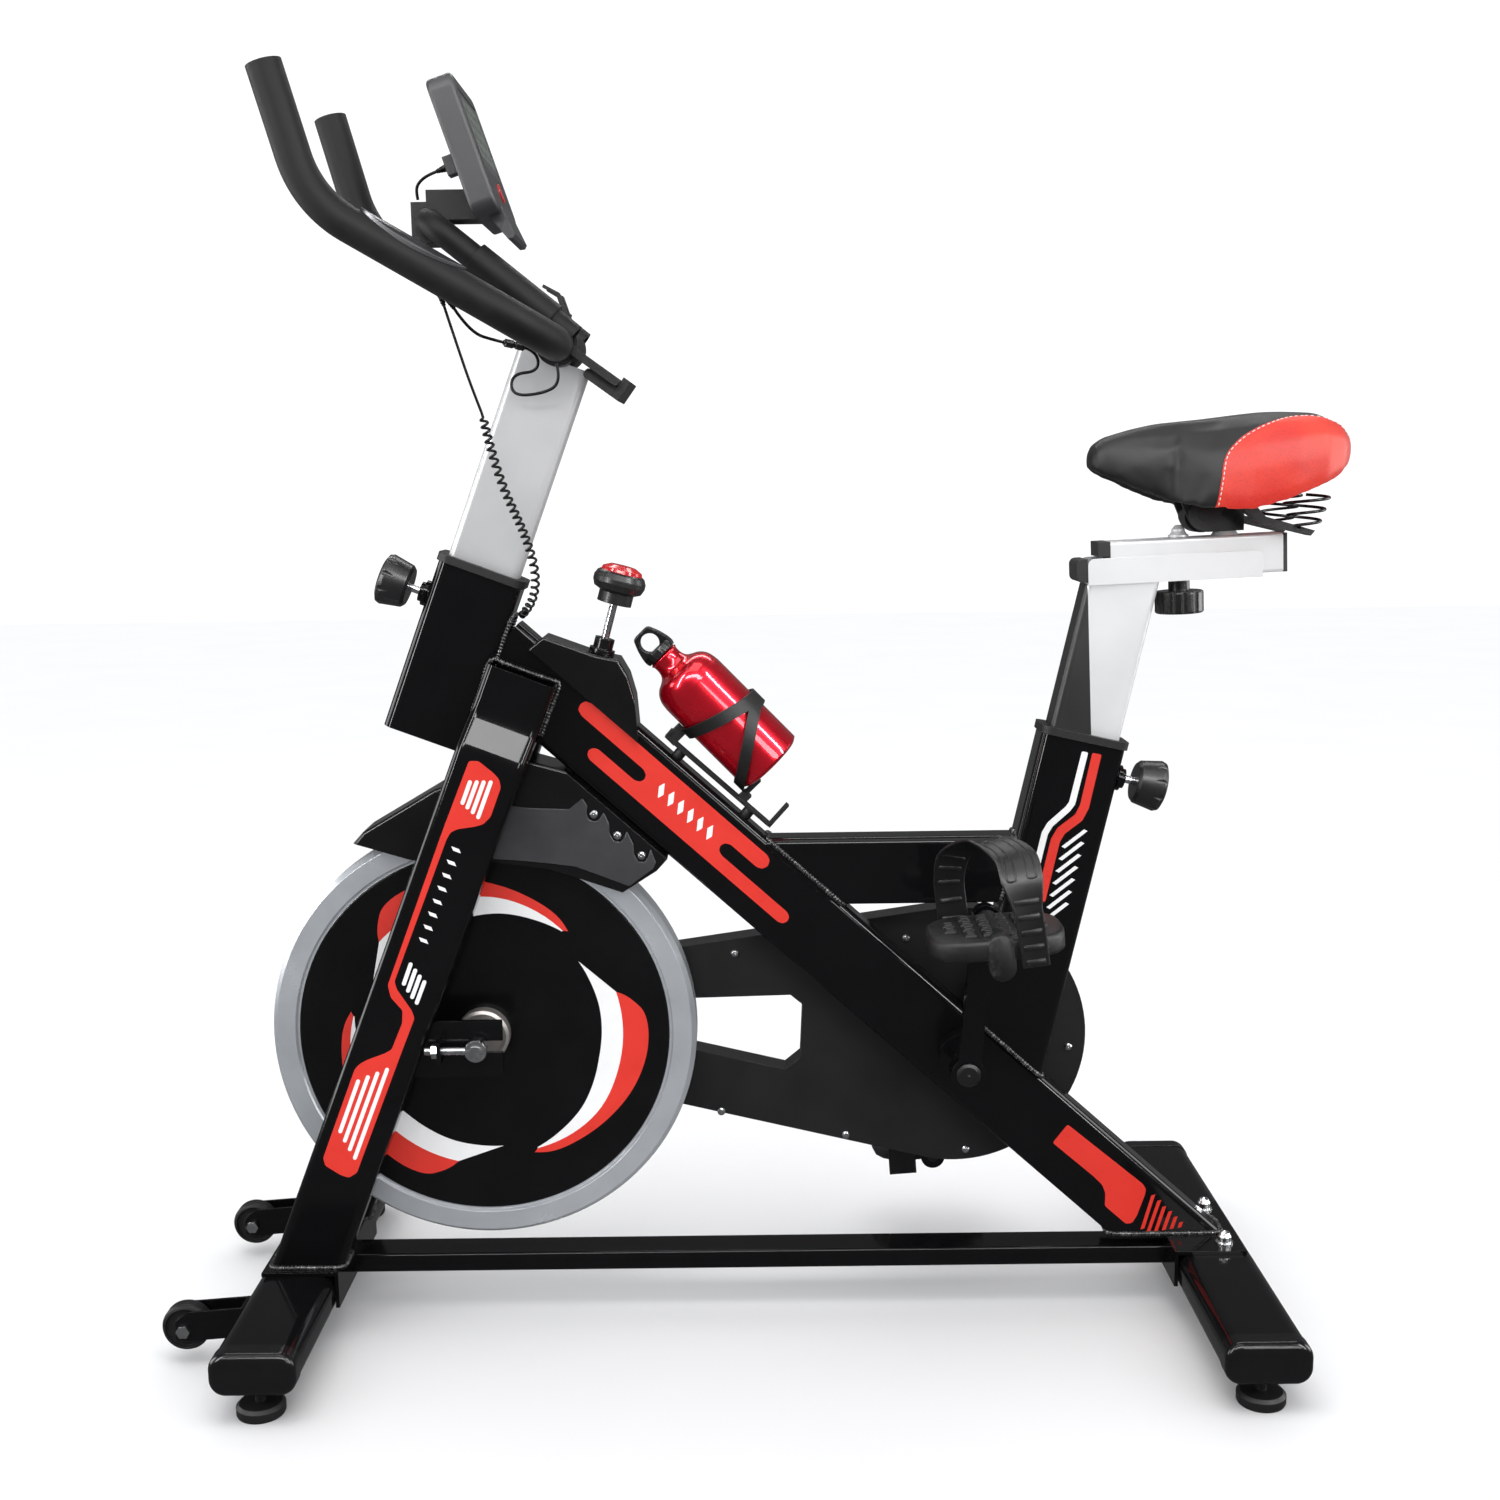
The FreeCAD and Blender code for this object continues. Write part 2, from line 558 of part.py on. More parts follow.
def make_belt_cover():
    window = side_prism(COVER_WINDOW, -100, 0)
    inner_plate = belt_slab(COVER_BIG_R, COVER_SMALL_R, COVER_IN - COVER_WALL, COVER_IN)
    inner_plate = inner_plate.cut([window, crank_rod(-60, 0, SHELL_R + 2)])
    inner_plate = inner_plate.cut(cross_rod(WHEEL_X, WHEEL_Z, -60, 0, 24))
    seam = COVER_IN - COVER_WALL - 0.05
    shell = belt_slab(COVER_BIG_R, COVER_SMALL_R, COVER_OUT, seam)
    room = belt_slab(COVER_BIG_R - COVER_WALL, COVER_SMALL_R - COVER_WALL, COVER_OUT + COVER_WALL, 0)
    outwards = ((3, 3), (-1, 3), (-3, 1), (-3, -2), (-1, -3), (3, -3))
    wall_outline = [(x + dx, z + dz) for (x, z), (dx, dz) in zip(COVER_WINDOW, outwards)]
    window_wall = side_prism(wall_outline, -100, 0)
    shell = shell.cut(room.cut(window_wall)).cut(window)
    shell = shell.cut([crank_rod(-90, 0, 13), cross_rod(WHEEL_X, WHEEL_Z, -90, 0, 9)])
    for x, z in COVER_SCREWS:
        shell = shell.fuse(cross_rod(x, z, COVER_OUT + 1, seam, POST_R))
    holes = [cross_rod(x, z, COVER_IN - 14, COVER_IN + 1, 2.1) for x, z in COVER_SCREWS]
    save("belt_cover_inner", inner_plate.cut(holes))
    save("belt_cover_outer", shell.cut(holes))


def pan_screw(x, z, y):
    """A small pan head screw whose head sits on a face that looks to +Y."""
    head = turned([(0, y), (4.2, y), (4.2, y + 0.8), (2.8, y + 2.2), (0, y + 2.6)], x, z)
    return head.fuse(cross_rod(x, z, y - 12, y, 2))


def make_screws():
    on_cover = [pan_screw(x, z, COVER_IN) for x, z in COVER_SCREWS]
    on_fender = [pan_screw(x, z, FENDER_HALF) for x, z in FENDER_SCREWS]
    save("pan_head_screws", *on_cover, *on_fender)


# ---- brake and fender ----
def make_brake_housing():
    outline = [(216, 700), (201, 712), (150, 693), (127, 688), (118, 672), (112, 650), (108.5, 603.5)]
    shell = side_prism(outline, -24.5, 24.5)
    side_edges = [edge for edge in shell.Edges if abs(edge.tangentAt(edge.FirstParameter).y) < 0.1]
    upper = [edge for edge in side_edges if edge.BoundBox.ZMax > 655 and edge.BoundBox.DiagonalLength < 60]
    shell = shell.makeFillet(3, upper)
    room = [(208, 702), (200, 708), (151, 690), (129, 685), (121, 671), (115, 650), (111, 600)]
    inside = side_prism(room, -22, 22)
    shell = shell.cut(inside).cut(main_bar(0.2))
    shell = shell.cut(brake_line(4.6))
    shell = max(shell.Solids, key=lambda piece: piece.Volume)
    nut = placed(rod(Vector(0, 0, -74), Vector(0, 0, -58), 10), BRAKE_LEAN, KNOB_CENTRE)
    flange = placed(rod(Vector(0, 0, -74), Vector(0, 0, -69), 13), BRAKE_LEAN, KNOB_CENTRE)
    guide = nut.fuse(flange).cut(brake_line(4.6)).cut(shell)
    guide = max(guide.Solids, key=lambda piece: piece.Volume)
    save("brake_housing", shell, guide)


FENDER_HALF = 30.0


def make_fender():
    outline = [
        (399, 506), (389, 517), (315, 560), (222, 589), (184, 578), (82, 486), (93, 474),
        (128, 452), (200, 477), (262, 486), (340, 488),
    ]
    cavity = [
        (405, 500), (386, 512), (314, 556.5), (222, 585.5), (185, 574), (88, 486), (95, 478),
        (128, 456), (128, 380), (405, 380),
    ]
    shell = side_prism(outline, -FENDER_HALF, FENDER_HALF)
    rim = [edge for edge in shell.Edges
           if abs(edge.tangentAt(edge.FirstParameter).y) < 0.1 and edge.BoundBox.ZMin > 500]
    shell = shell.makeFillet(4, rim)
    shell = shell.cut(side_prism(cavity, -FENDER_HALF + 2.5, FENDER_HALF - 2.5))
    shell = shell.cut(cross_rod(WHEEL_X, WHEEL_Z, WHEEL_INNER_Y - 8, WHEEL_OUTER_Y + 4, WHEEL_R + 5))
    shell = shell.cut(main_bar(1.0)).cut(brake_line(6))
    for x, z in FENDER_SCREWS:
        shell = shell.cut(cross_rod(x, z, 0, 60, 2.1))
    save("flywheel_fender", max(shell.Solids, key=lambda piece: piece.Volume))


FENDER_SCREWS = [(155, 533), (132, 511), (108, 490)]


def make_brake():
    lean = math.radians(BRAKE_LEAN)
    foot_x = KNOB_CENTRE.x + BRAKE_ROD_LENGTH * math.sin(lean)
    foot_z = KNOB_CENTRE.z - BRAKE_ROD_LENGTH * math.cos(lean)
    angle = math.atan2(foot_z - WHEEL_Z, foot_x - WHEEL_X)
    stem = placed(rod(Vector(0, 0, -BRAKE_ROD_LENGTH), Vector(0, 0, -8), 4), BRAKE_LEAN, KNOB_CENTRE)
    shoe = turned([(227, -13), (239, -13), (239, 19), (227, 19)])
    wedge = [(0, 0)]
    for step in (-8, 8):
        wedge.append((300 * math.cos(angle + math.radians(step)), 300 * math.sin(angle + math.radians(step))))
    shoe = shoe.common(side_prism(wedge, -30, 30))
    shoe = shifted(shoe, WHEEL_X, 0, WHEEL_Z)
    plate_zone = turned([(234, -20), (240, -20), (240, 30), (234, 30)], WHEEL_X, WHEEL_Z)
    pad_zone = turned([(0, -40), (233.95, -40), (233.95, 40), (0, 40)], WHEEL_X, WHEEL_Z)
    carrier = shoe.common(plate_zone).fuse(stem.cut(pad_zone))
    save("brake_rod", carrier, shoe.common(pad_zone))
    knob = spun([
        (4.1, -22), (17.5, -22), (17.5, -11), (24, -8), (26.5, -2), (26.5, 3), (24, 8), (21, 10),
        (20, 13), (13, 16.5), (0, 17.5), (0, -7), (4.1, -7),
    ])
    save("brake_knob", placed(knob, BRAKE_LEAN, KNOB_CENTRE))


# ---- crank and pedals ----
def crank_end(side):
    """Pedal axle's place: the left crank points up and the right crank down."""
    lean = math.radians(CRANK_LEAN)
    return CRANK_X - side * CRANK_LENGTH * math.sin(lean), CRANK_Z + side * CRANK_LENGTH * math.cos(lean)


def crank_arm(side):
    arm = box(-11, 11, ARM_INNER_Y, ARM_OUTER_Y, -8, CRANK_LENGTH + 2)
    crank_eye = cross_rod(0, 0, ARM_INNER_Y - 6, ARM_OUTER_Y, 17)
    pedal_eye = cross_rod(0, CRANK_LENGTH, ARM_INNER_Y, ARM_OUTER_Y, 13)
    arm = arm.fuse([crank_eye, pedal_eye])
    arm = arm.cut([cross_rod(0, 0, 0, 120, 8.05), cross_rod(0, CRANK_LENGTH, 0, 120, 6)])
    face = ARM_OUTER_Y + 0.05
    cap = turned([(0, face), (12, face), (12, face + 2), (9, face + 3.5), (0, face + 4)])
    pieces = []
    for piece in (arm.removeSplitter(), cap):
        if side < 0:
            piece = mirrored(piece)
            piece.rotate(Vector(0, 0, 0), ALONG_Y, 180)
        pieces.append(placed(piece, CRANK_LEAN, Vector(CRANK_X, 0, CRANK_Z)))
    return pieces


def make_crank():
    left, right = crank_arm(1), crank_arm(-1)
    save("left_crank_arm", left[0])
    save("right_crank_arm", right[0])
    wheel = [
        (8.1, BELT_OUT), (20, BELT_OUT), (20, BELT_OUT + 5), (BIG_PULLEY_R - 8, BELT_OUT + 5),
        (BIG_PULLEY_R - 8, BELT_OUT), (BIG_PULLEY_R, BELT_OUT), (BIG_PULLEY_R, BELT_IN),
        (BIG_PULLEY_R - 8, BELT_IN), (BIG_PULLEY_R - 8, BELT_IN - 5), (20, BELT_IN - 5), (20, BELT_IN),
        (8.1, BELT_IN),
    ]
    pulley = turned(wheel, CRANK_X, CRANK_Z)
    for step in range(5):
        angle = math.radians(72 * step)
        x, z = CRANK_X + 58 * math.cos(angle), CRANK_Z + 58 * math.sin(angle)
        pulley = pulley.cut(cross_rod(x, z, -60, 0, 20))
    save("drive_pulley", pulley)
    spindles = [crank_rod(-ARM_OUTER_Y, ARM_OUTER_Y, 8), left[1], right[1]]
    for side in (-1, 1):
        x, z = crank_end(side)
        shaft = cross_rod(x, z, ARM_INNER_Y, PEDAL_OUTER_Y - 6, 5.93)
        shaft = shaft.fuse(cross_rod(x, z, ARM_OUTER_Y + 0.1, PEDAL_INNER_Y - 1, 9))
        spindles.append(shaft if side > 0 else mirrored(shaft))
    save("crank_spindles", *spindles)


PEDAL_TILT = 4.0


def pedal_body():
    """Left pedal about its own axle: platform, axle barrel, treads and the hanging end block."""
    inner, outer = PEDAL_INNER_Y, PEDAL_OUTER_Y
    plan = box(-64, 64, inner, outer, -12, 8)
    corners = [edge for edge in plan.Edges if abs(edge.tangentAt(edge.FirstParameter).z) > 0.9]
    plan = plan.makeFillet(34, corners)
    room = box(-52, 52, inner + 9, outer - 9, -13, 2)
    room_corners = [edge for edge in room.Edges if abs(edge.tangentAt(edge.FirstParameter).z) > 0.9]
    body = plan.cut(room.makeFillet(26, room_corners))
    body = body.fuse([cross_rod(0, 0, inner, outer, 11), box(-12, 12, outer - 14, outer, -31, 0)])
    body = body.fuse(cross_rod(0, 0, outer - 14, outer, 12.5))
    for row in (-3, -2, -1, 1, 2, 3):
        body = body.fuse(box(row * 15 - 4.5, row * 15 + 4.5, inner + 14, outer - 14, 7, 11))
    bore = cross_rod(0, 0, inner - 1, outer - 4, 6.0)
    return body.cut(bore).removeSplitter()


def toe_strap():
    """Strap arched over the platform: both ends come down past the pedal's sides."""
    def arch(grow):
        left_half = [(-40 - grow, -34), (-42 - grow, 40), (-22, 88 + grow)]
        points = left_half + [(-y, z) for y, z in reversed(left_half)]
        return [Vector(0, (PEDAL_INNER_Y + PEDAL_OUTER_Y) / 2 + y, z) for y, z in points]
    outer_path, inner_path = arch(15.0), arch(11.8)
    edges = list(rounded_path(outer_path, [60, 26, 26, 60]).Edges)
    edges.append(Part.LineSegment(outer_path[-1], inner_path[-1]).toShape())
    edges += list(rounded_path(inner_path[::-1], [57, 23, 23, 57]).Edges)
    edges.append(Part.LineSegment(inner_path[0], outer_path[0]).toShape())
    band = Part.Face(Part.Wire(edges)).extrude(Vector(44, 0, 0))
    axle_hole = cross_rod(0, 0, PEDAL_INNER_Y - 12, PEDAL_INNER_Y + 6, 9.5)
    return shifted(band, -22, 0, 0).cut(axle_hole)


def make_pedals():
    for name, side in (("left", 1), ("right", -1)):
        x, z = crank_end(side)
        pieces = []
        for shape in (pedal_body(), toe_strap().cut(pedal_body())):
            shape = shape if side > 0 else mirrored(shape)
            pieces += placed(shape, -PEDAL_TILT, Vector(x, 0, z)).Solids
        strap = max(pieces[1:], key=lambda piece: piece.Volume)
        save(name + "_pedal", pieces[0], strap)


# ---- handlebar end ----
def bar_path():
    left = [GRIP_END, GRIP_BEND, BAR_CORNER]
    right = [Vector(p.x, -p.y, p.z) for p in reversed(left)]
    return rounded_path(left + right, [100, 58, 58, 100])


def make_handlebar_post():
    post = tube(POST_X, POST_Y, -118, 232, 7)
    for step in range(7):
        z = HEAD_PIN_Z - 40 + 30 * step
        post = post.cut(rod(Vector(POST_X / 2 - 6, 0, z), Vector(POST_X, 0, z), PIN_R + 1))
    solid = placed(post, HEAD_LEAN, HEAD_TOP)
    across_bar = pipe(bar_path(), BAR_R)
    above = placed(box(-100, 100, -100, 100, 214, 400), HEAD_LEAN, HEAD_TOP)
    solid = solid.cut(across_bar).cut(above)
    save("handlebar_post", max(solid.Solids, key=lambda piece: piece.Volume))


def loop_path():
    foot_left = Vector(LOOP_FOOT.x, LOOP_Y, LOOP_FOOT.z)
    top_left = Vector(LOOP_TOP.x, LOOP_Y, LOOP_TOP.z)
    top_right = Vector(LOOP_TOP.x, -LOOP_Y, LOOP_TOP.z)
    foot_right = Vector(LOOP_FOOT.x, -LOOP_Y, LOOP_FOOT.z)
    return rounded_path([foot_left, top_left, top_right, foot_right], [26, 26])


def make_handlebar():
    path = bar_path()
    grips = pipe(path, BAR_R)
    hollow = pipe(path, BAR_R - 3.5)
    plugs = []
    for side in (1, -1):
        end = Vector(GRIP_END.x, side * GRIP_END.y, GRIP_END.z)
        bend = Vector(GRIP_BEND.x, side * GRIP_BEND.y, GRIP_BEND.z)
        down = bend.sub(end).normalize()
        plugs.append(rod(end.add(down * 3), end.add(down * 12), BAR_R - 3.6))
    loop = pipe(loop_path(), LOOP_R).cut(grips)
    loop = loop.cut(pipe(loop_path(), LOOP_R - 2.5))
    loop = max(loop.Solids, key=lambda piece: piece.Volume)
    sleeves = []
    rise = LOOP_TOP.sub(LOOP_FOOT).normalize()
    for side in (1, -1):
        start = Vector(LOOP_FOOT.x, side * LOOP_Y, LOOP_FOOT.z).add(rise * 26)
        end = start.add(rise * 92)
        sleeves.append(rod(start, end, 16).cut(rod(start.sub(rise), end.add(rise), LOOP_R + 0.05)).cut(grips))
    save("handlebar", grips.cut(hollow), *plugs, loop)
    save("loop_grips", *[max(piece.Solids, key=lambda part: part.Volume) for piece in sleeves])


def make_sensors():
    """Hand-pulse plates on the upper inner side of each grip tube."""
    low = BAR_CORNER
    rise = GRIP_BEND.sub(BAR_CORNER)
    middle = low.add(rise * 0.60)
    along = Vector(rise.x, rise.y, rise.z).normalize()
    skin = rod(middle.sub(along * 56), middle.add(along * 56), BAR_R + 2.6)
    skin = skin.cut(rod(middle.sub(along * 60), middle.add(along * 60), BAR_R + 0.05))
    oval = Part.Face(Part.Wire(Part.Ellipse(Vector(0, 0, 0), 54, 14).toShape())).extrude(Vector(0, 0, 40))
    slope = math.degrees(math.atan2(rise.z, rise.x))
    oval.Placement = Placement(middle, Rotation(ALONG_Y, -slope))
    left = max(skin.common(oval).Solids, key=lambda piece: piece.Volume)
    save("pulse_sensors", left, mirrored(left))


def console_place(shape):
    return placed(shape, CONSOLE_LEAN, CONSOLE_FOOT)


def make_console():
    """The console's own X looks away from the rider. It leans forward at the top."""
    half = CONSOLE_THICK / 2
    slab = box(-half, half, -CONSOLE_WIDE / 2, CONSOLE_WIDE / 2, 0, CONSOLE_HIGH)
    rim = [edge for edge in slab.Edges if abs(edge.tangentAt(edge.FirstParameter).x) > 0.9]
    slab = slab.makeFillet(14, rim)
    face_rim = [edge for edge in slab.Edges if abs(edge.BoundBox.XMin - edge.BoundBox.XMax) < 0.01]
    slab = slab.makeFillet(4, face_rim)
    lip = [(-half, 10), (-half - 4, -22), (-half - 1, -25), (-half + 4, -24), (half - 10, 6)]
    slab = slab.fuse(side_prism(lip, -44, 44))
    screen = box(-half - 1, -half + 1.6, -54, 54, 44, 118)
    slab = slab.cut(screen)
    socket = box(half - 1, half + 13, 10, 26, 52, 70)
    slab = slab.fuse(socket).cut(rod(Vector(-half - 5, 0, 25), Vector(-half + 6, 0, 25), 9 + GAP))
    save("console", console_place(slab))
    button = rod(Vector(-half - 1.5, 0, 25), Vector(-half + 4, 0, 25), 9)
    save("console_button", console_place(button))


def make_console_bracket():
    """Block between the console's back and the top of the middle loop, with a clamp plate."""
    back = console_place(box(CONSOLE_THICK / 2 + 0.1, 200, -200, 200, -100, 300))
    block = box(236, 301, -17, 17, 1114, 1142).common(back)
    loop_bar = rod(Vector(LOOP_TOP.x, -60, LOOP_TOP.z), Vector(LOOP_TOP.x, 60, LOOP_TOP.z), LOOP_R + 0.05)
    clamp = box(287, 316, -16, 16, 1092, 1131)
    block = block.fuse(clamp).cut(loop_bar).removeSplitter()
    save("console_bracket", max(block.Solids, key=lambda piece: piece.Volume))


def make_tablet_holder():
    """Clamp behind the crossbar, a sloping tray of two plates and two wire-thin hooks."""
    x, z = BAR_CORNER.x, BAR_CORNER.z
    bar_room = rod(Vector(x, -200, z), Vector(x, 200, z), BAR_R + 0.1)
    clamp = rod(Vector(x, -42, z), Vector(x, 42, z), BAR_R + 4)
    tray = box(-58, 4, -50, 50, -4, 4)
    tray = tray.makeFillet(3, edges_along_y(tray))
    jaw = box(-66, -24, -42, 42, -14, -4)
    jaw = jaw.makeFillet(4, edges_along_y(jaw))
    lip = box(-66, -58, -42, 42, -14, 8)
    shelf = placed(tray.fuse([jaw, lip]), 36, Vector(x - 12, 0, z - 4))
    holder = clamp.fuse(shelf)
    for y in (-18, 18):
        stalk = side_prism([(x - 2, z + 15), (x - 9, z + 29), (x - 2, z + 50), (x + 13, z + 58),
                            (x + 14.5, z + 55.5), (x + 1, z + 47.5), (x - 5, z + 29), (x + 5, z + 15)],
                           y - 5, y + 5)
        holder = holder.fuse(stalk)
    holder = holder.cut(bar_room)
    post = placed(bar(POST_X + 1, POST_Y + 1, -300, 214.5, 7), HEAD_LEAN, HEAD_TOP)
    holder = holder.cut(post).cut(pipe(loop_path(), LOOP_R + 4)).removeSplitter()
    save("tablet_holder", max(holder.Solids, key=lambda piece: piece.Volume))


# ---- seat end ----
def rail_place(shape):
    return placed(shape, -RAIL_LEAN, RAIL_POINT)


CLAMP_X = -59.5        # the clamp bolt, along the seat rail's own X


def make_seat_post():
    post = tube(POST_X, POST_Y, -150, 170, 7)
    for step in range(7):
        z = SEAT_PIN_Z - 50 + 30 * step
        post = post.cut(rod(Vector(-POST_X / 2 + 6, 0, z), Vector(-POST_X, 0, z), PIN_R + 1))
    above = rail_place(box(-300, 300, -100, 100, 1, 300))
    post = placed(post, SEAT_LEAN, SEAT_TOP).cut(above)
    channel = box(-137, 35, -23.5, 23.5, 0, 26)
    channel = channel.makeFillet(7, [edge for edge in edges_along_y(channel) if edge.BoundBox.ZMin > 20])
    channel = channel.cut(box(-138, 36, -20.6, 20.6, 3, 40))
    channel = channel.cut(rod(Vector(CLAMP_X, 0, -5), Vector(CLAMP_X, 0, 10), 4.2))
    cap = box(35.1, 46, -22, 22, 3, 26)
    cap = cap.makeFillet(6, [edge for edge in edges_along_y(cap) if edge.BoundBox.XMin > 45])
    bolt = rod(Vector(CLAMP_X, 0, -17), Vector(CLAMP_X, 0, 44), 4)
    stud = shifted(spun([(0, 44), (9, 44), (6.5, 48), (6.5, 50), (3, 54), (0, 54)]), CLAMP_X, 0, 0)
    bolt = bolt.fuse([rod(Vector(CLAMP_X, 0, 42.1), Vector(CLAMP_X, 0, 44.5), 10), stud])
    save("seat_post", post.fuse(rail_place(channel)), rail_place(cap), rail_place(bolt))


def make_slider():
    slider = box(-158, 12, -20, 20, 3.3, 41.7)
    long_edges = [edge for edge in slider.Edges if abs(edge.tangentAt(edge.FirstParameter).x) > 0.9]
    slider = slider.makeFillet(3, long_edges).cut(box(-160, 14, -18, 18, 5.3, 39.7))
    slot = box(CLAMP_X - 15, CLAMP_X + 65, -4.6, 4.6, 0, 60)
    slider = slider.cut(slot)
    cone = spun([(0, 0), (13.5, 0), (11, 4), (9, 12), (9, 34), (0, 34)])
    cone = shifted(cone, -105.5, 0, 41.7)
    front = box(12.1, 24, -20, 20, 27.5, 41.9).fuse(box(6, 12.1, -17.9, 17.9, 5.4, 39.6))
    rear = box(-162, -158.1, -20, 20, 3.5, 41.7).fuse(box(-158.1, -152, -17.9, 17.9, 5.4, 39.6))
    save("seat_slider", rail_place(slider.fuse(cone)), rail_place(front), rail_place(rear))


def star_knob(radius, thick, flutes, depth):
    """A fluted hand knob that stands on z = 0."""
    body = rod(Vector(0, 0, 0), Vector(0, 0, thick), radius)
    rims = [edge for edge in body.Edges if edge.Closed and edge.Length > radius]
    body = body.makeFillet(2.5, rims)
    for step in range(flutes):
        angle = 2 * math.pi * step / flutes
        reach = radius + 3 - depth
        spot = Vector((radius + 3) * math.cos(angle), (radius + 3) * math.sin(angle), -1)
        body = body.cut(rod(spot, spot.add(Vector(0, 0, thick + 2)), radius + 3 - reach + 0.01))
    return body


def make_slider_knob():
    knob = star_knob(24, 22.5, 12, 4.5)
    knob = knob.fuse(rod(Vector(0, 0, 22), Vector(0, 0, 33), 10.5))
    knob = knob.cut(rod(Vector(0, 0, 10), Vector(0, 0, 40), 4 + 0.05))
    knob = shifted(knob, CLAMP_X, 0, -33.5)
    save("slider_knob", rail_place(knob))


def pop_pin(lean, top, pin_z, rear):
    """Knob on a steel shaft that slides square to the sleeve, drawn just clear of the post."""
    side = -1 if rear else 1
    head = spun([(0, 0), (19, 0), (22, 3), (26, 24), (24.5, 28), (20, 30), (0, 30)])
    for step in range(10):
        angle = 2 * math.pi * step / 10
        spot = Vector(28 * math.cos(angle), 28 * math.sin(angle), -1)
        head = head.cut(rod(spot, spot.add(Vector(0, 0, 32)), 3.6))
    head.rotate(Vector(0, 0, 0), ALONG_Y, 90 * side)
    start = side * (SLEEVE_X / 2 + 21)
    head = shifted(head, start, 0, pin_z)
    shaft = rod(Vector(side * (POST_X / 2 + 0.4), 0, pin_z), Vector(start + side * 3, 0, pin_z), PIN_R)
    return placed(head, lean, top), placed(shaft, lean, top)


def make_pins():
    for name, lean, top, pin_z, rear in (
            ("handlebar_pin", HEAD_LEAN, HEAD_TOP, HEAD_PIN_Z, False),
            ("seat_pin", SEAT_LEAN, SEAT_TOP, SEAT_PIN_Z, True)):
        head, shaft = pop_pin(lean, top, pin_z, rear)
        save(name + "_knob", head.fuse(shaft))


def saddle_ring(x, half, top, low):
    """One closed cross-section of the pad: domed top, rounded shoulders, skirts down to low."""
    shape = [(0, 1.0), (0.45, 0.985), (0.78, 0.90), (0.96, 0.68), (1.0, 0.42), (0.97, 0.12), (0.90, 0.0)]
    right = [(half * w, low + (top - low) * h) for w, h in shape]
    left = [(-y, z) for y, z in right[:0:-1]]
    points = [Vector(x, y, z) for y, z in right + left]
    return Part.makePolygon(points + points[:1])


SADDLE_SECTIONS = [
    (-337, 13, 884, 870), (-341, 21, 893, 866), (-352, 27, 900, 860), (-380, 33, 905.5, 849),
    (-415, 43, 909, 838), (-450, 66, 912, 828), (-485, 90, 916, 826), (-520, 101, 919.5, 836),
    (-550, 99, 919.5, 848), (-572, 82, 912, 858), (-584, 62, 902, 868), (-589, 42, 894, 876),
]


def make_saddle():
    rings = [saddle_ring(*section) for section in SADDLE_SECTIONS]
    pad = Part.makeLoft(rings, True, True)
    hollow = [saddle_ring(x, half - 12, low + (880 - low) * 0.42, low - 30)
              for x, half, top, low in SADDLE_SECTIONS[2:-2]]
    pad = pad.cut(Part.makeLoft(hollow, True, True))
    pad = max(pad.Solids, key=lambda piece: piece.Volume)
    save("saddle_pad", pad)
    plates = []
    for x, half, top, low in SADDLE_SECTIONS[3:-3]:
        under = low + (880 - low) * 0.42
        corners = [Vector(x, -(half - 16), under - 5), Vector(x, half - 16, under - 5),
                   Vector(x, half - 18, under - 1.5), Vector(x, -(half - 18), under - 1.5)]
        plates.append(Part.makePolygon(corners + corners[:1]))
    pan = Part.makeLoft(plates, True, True)
    lugs = []
    lug_outline = [(-478, 846), (-466, 818), (-458, 811), (-446, 811), (-438, 818), (-426, 846)]
    for y0, y1 in ((-19, -13.3), (13.3, 19)):
        lugs.append(side_prism(lug_outline, y0, y1))
    pivot = cross_rod(SADDLE_PIVOT.x, SADDLE_PIVOT.z, -24, 24, 5)
    discs = [cross_rod(SADDLE_PIVOT.x, SADDLE_PIVOT.z, y0, y1, 15) for y0, y1 in ((-23, -19), (19, 23))]
    beam_outline = [(-470, 846), (-470, 838), (-500, 815), (-548, 803), (-552, 808), (-504, 822), (-482, 846)]
    beam = side_prism(beam_outline, -52, 52)
    keep = box(-600, -400, -52, -36, 790, 850).fuse(box(-600, -400, 36, 52, 790, 850))
    cross = box(-484, -470, -52, 52, 838, 843)
    beams = beam.common(keep).fuse(cross)
    frame = pan.fuse(lugs + [pivot] + discs + [beams]).removeSplitter()
    springs = []
    seats = []
    for side in (-1, 1):
        for turn in range(4):
            centre = Vector(-544, side * 44, 812 + 9.5 * turn)
            springs.append(Part.makeTorus(11 + 4.0 * turn, 1.8, centre, UP))
            seats.append(Part.makeTorus(11 + 4.0 * turn, 1.9, centre, UP))
    frame = frame.cut([pad] + seats)
    save("saddle_pan", max(frame.Solids, key=lambda piece: piece.Volume))
    save("saddle_springs", *springs)


def make_saddle_clamp():
    cone_room = spun([(0, 0), (13.6, 0), (11.1, 4.1), (9.1, 12.1), (9.1, 50), (0, 50)])
    cone_room = rail_place(shifted(cone_room, -105.5, 0, 41.7))
    body = cross_rod(SADDLE_PIVOT.x, SADDLE_PIVOT.z, -12.9, 12.9, 17)
    block = box(-494, -458, -12.9, 12.9, 806, 832)
    clamp = body.fuse(block).cut(cross_rod(SADDLE_PIVOT.x, SADDLE_PIVOT.z, -30, 30, 5.08)).cut(cone_room)
    clamp = clamp.cut(rail_place(box(-200, 50, -50, 50, 0, 46)))
    save("saddle_clamp", max(clamp.Solids, key=lambda piece: piece.Volume))


# ---- bottle and cage ----
def bottle_place(shape):
    return placed(shape, -BOTTLE_LEAN, BOTTLE_BASE)


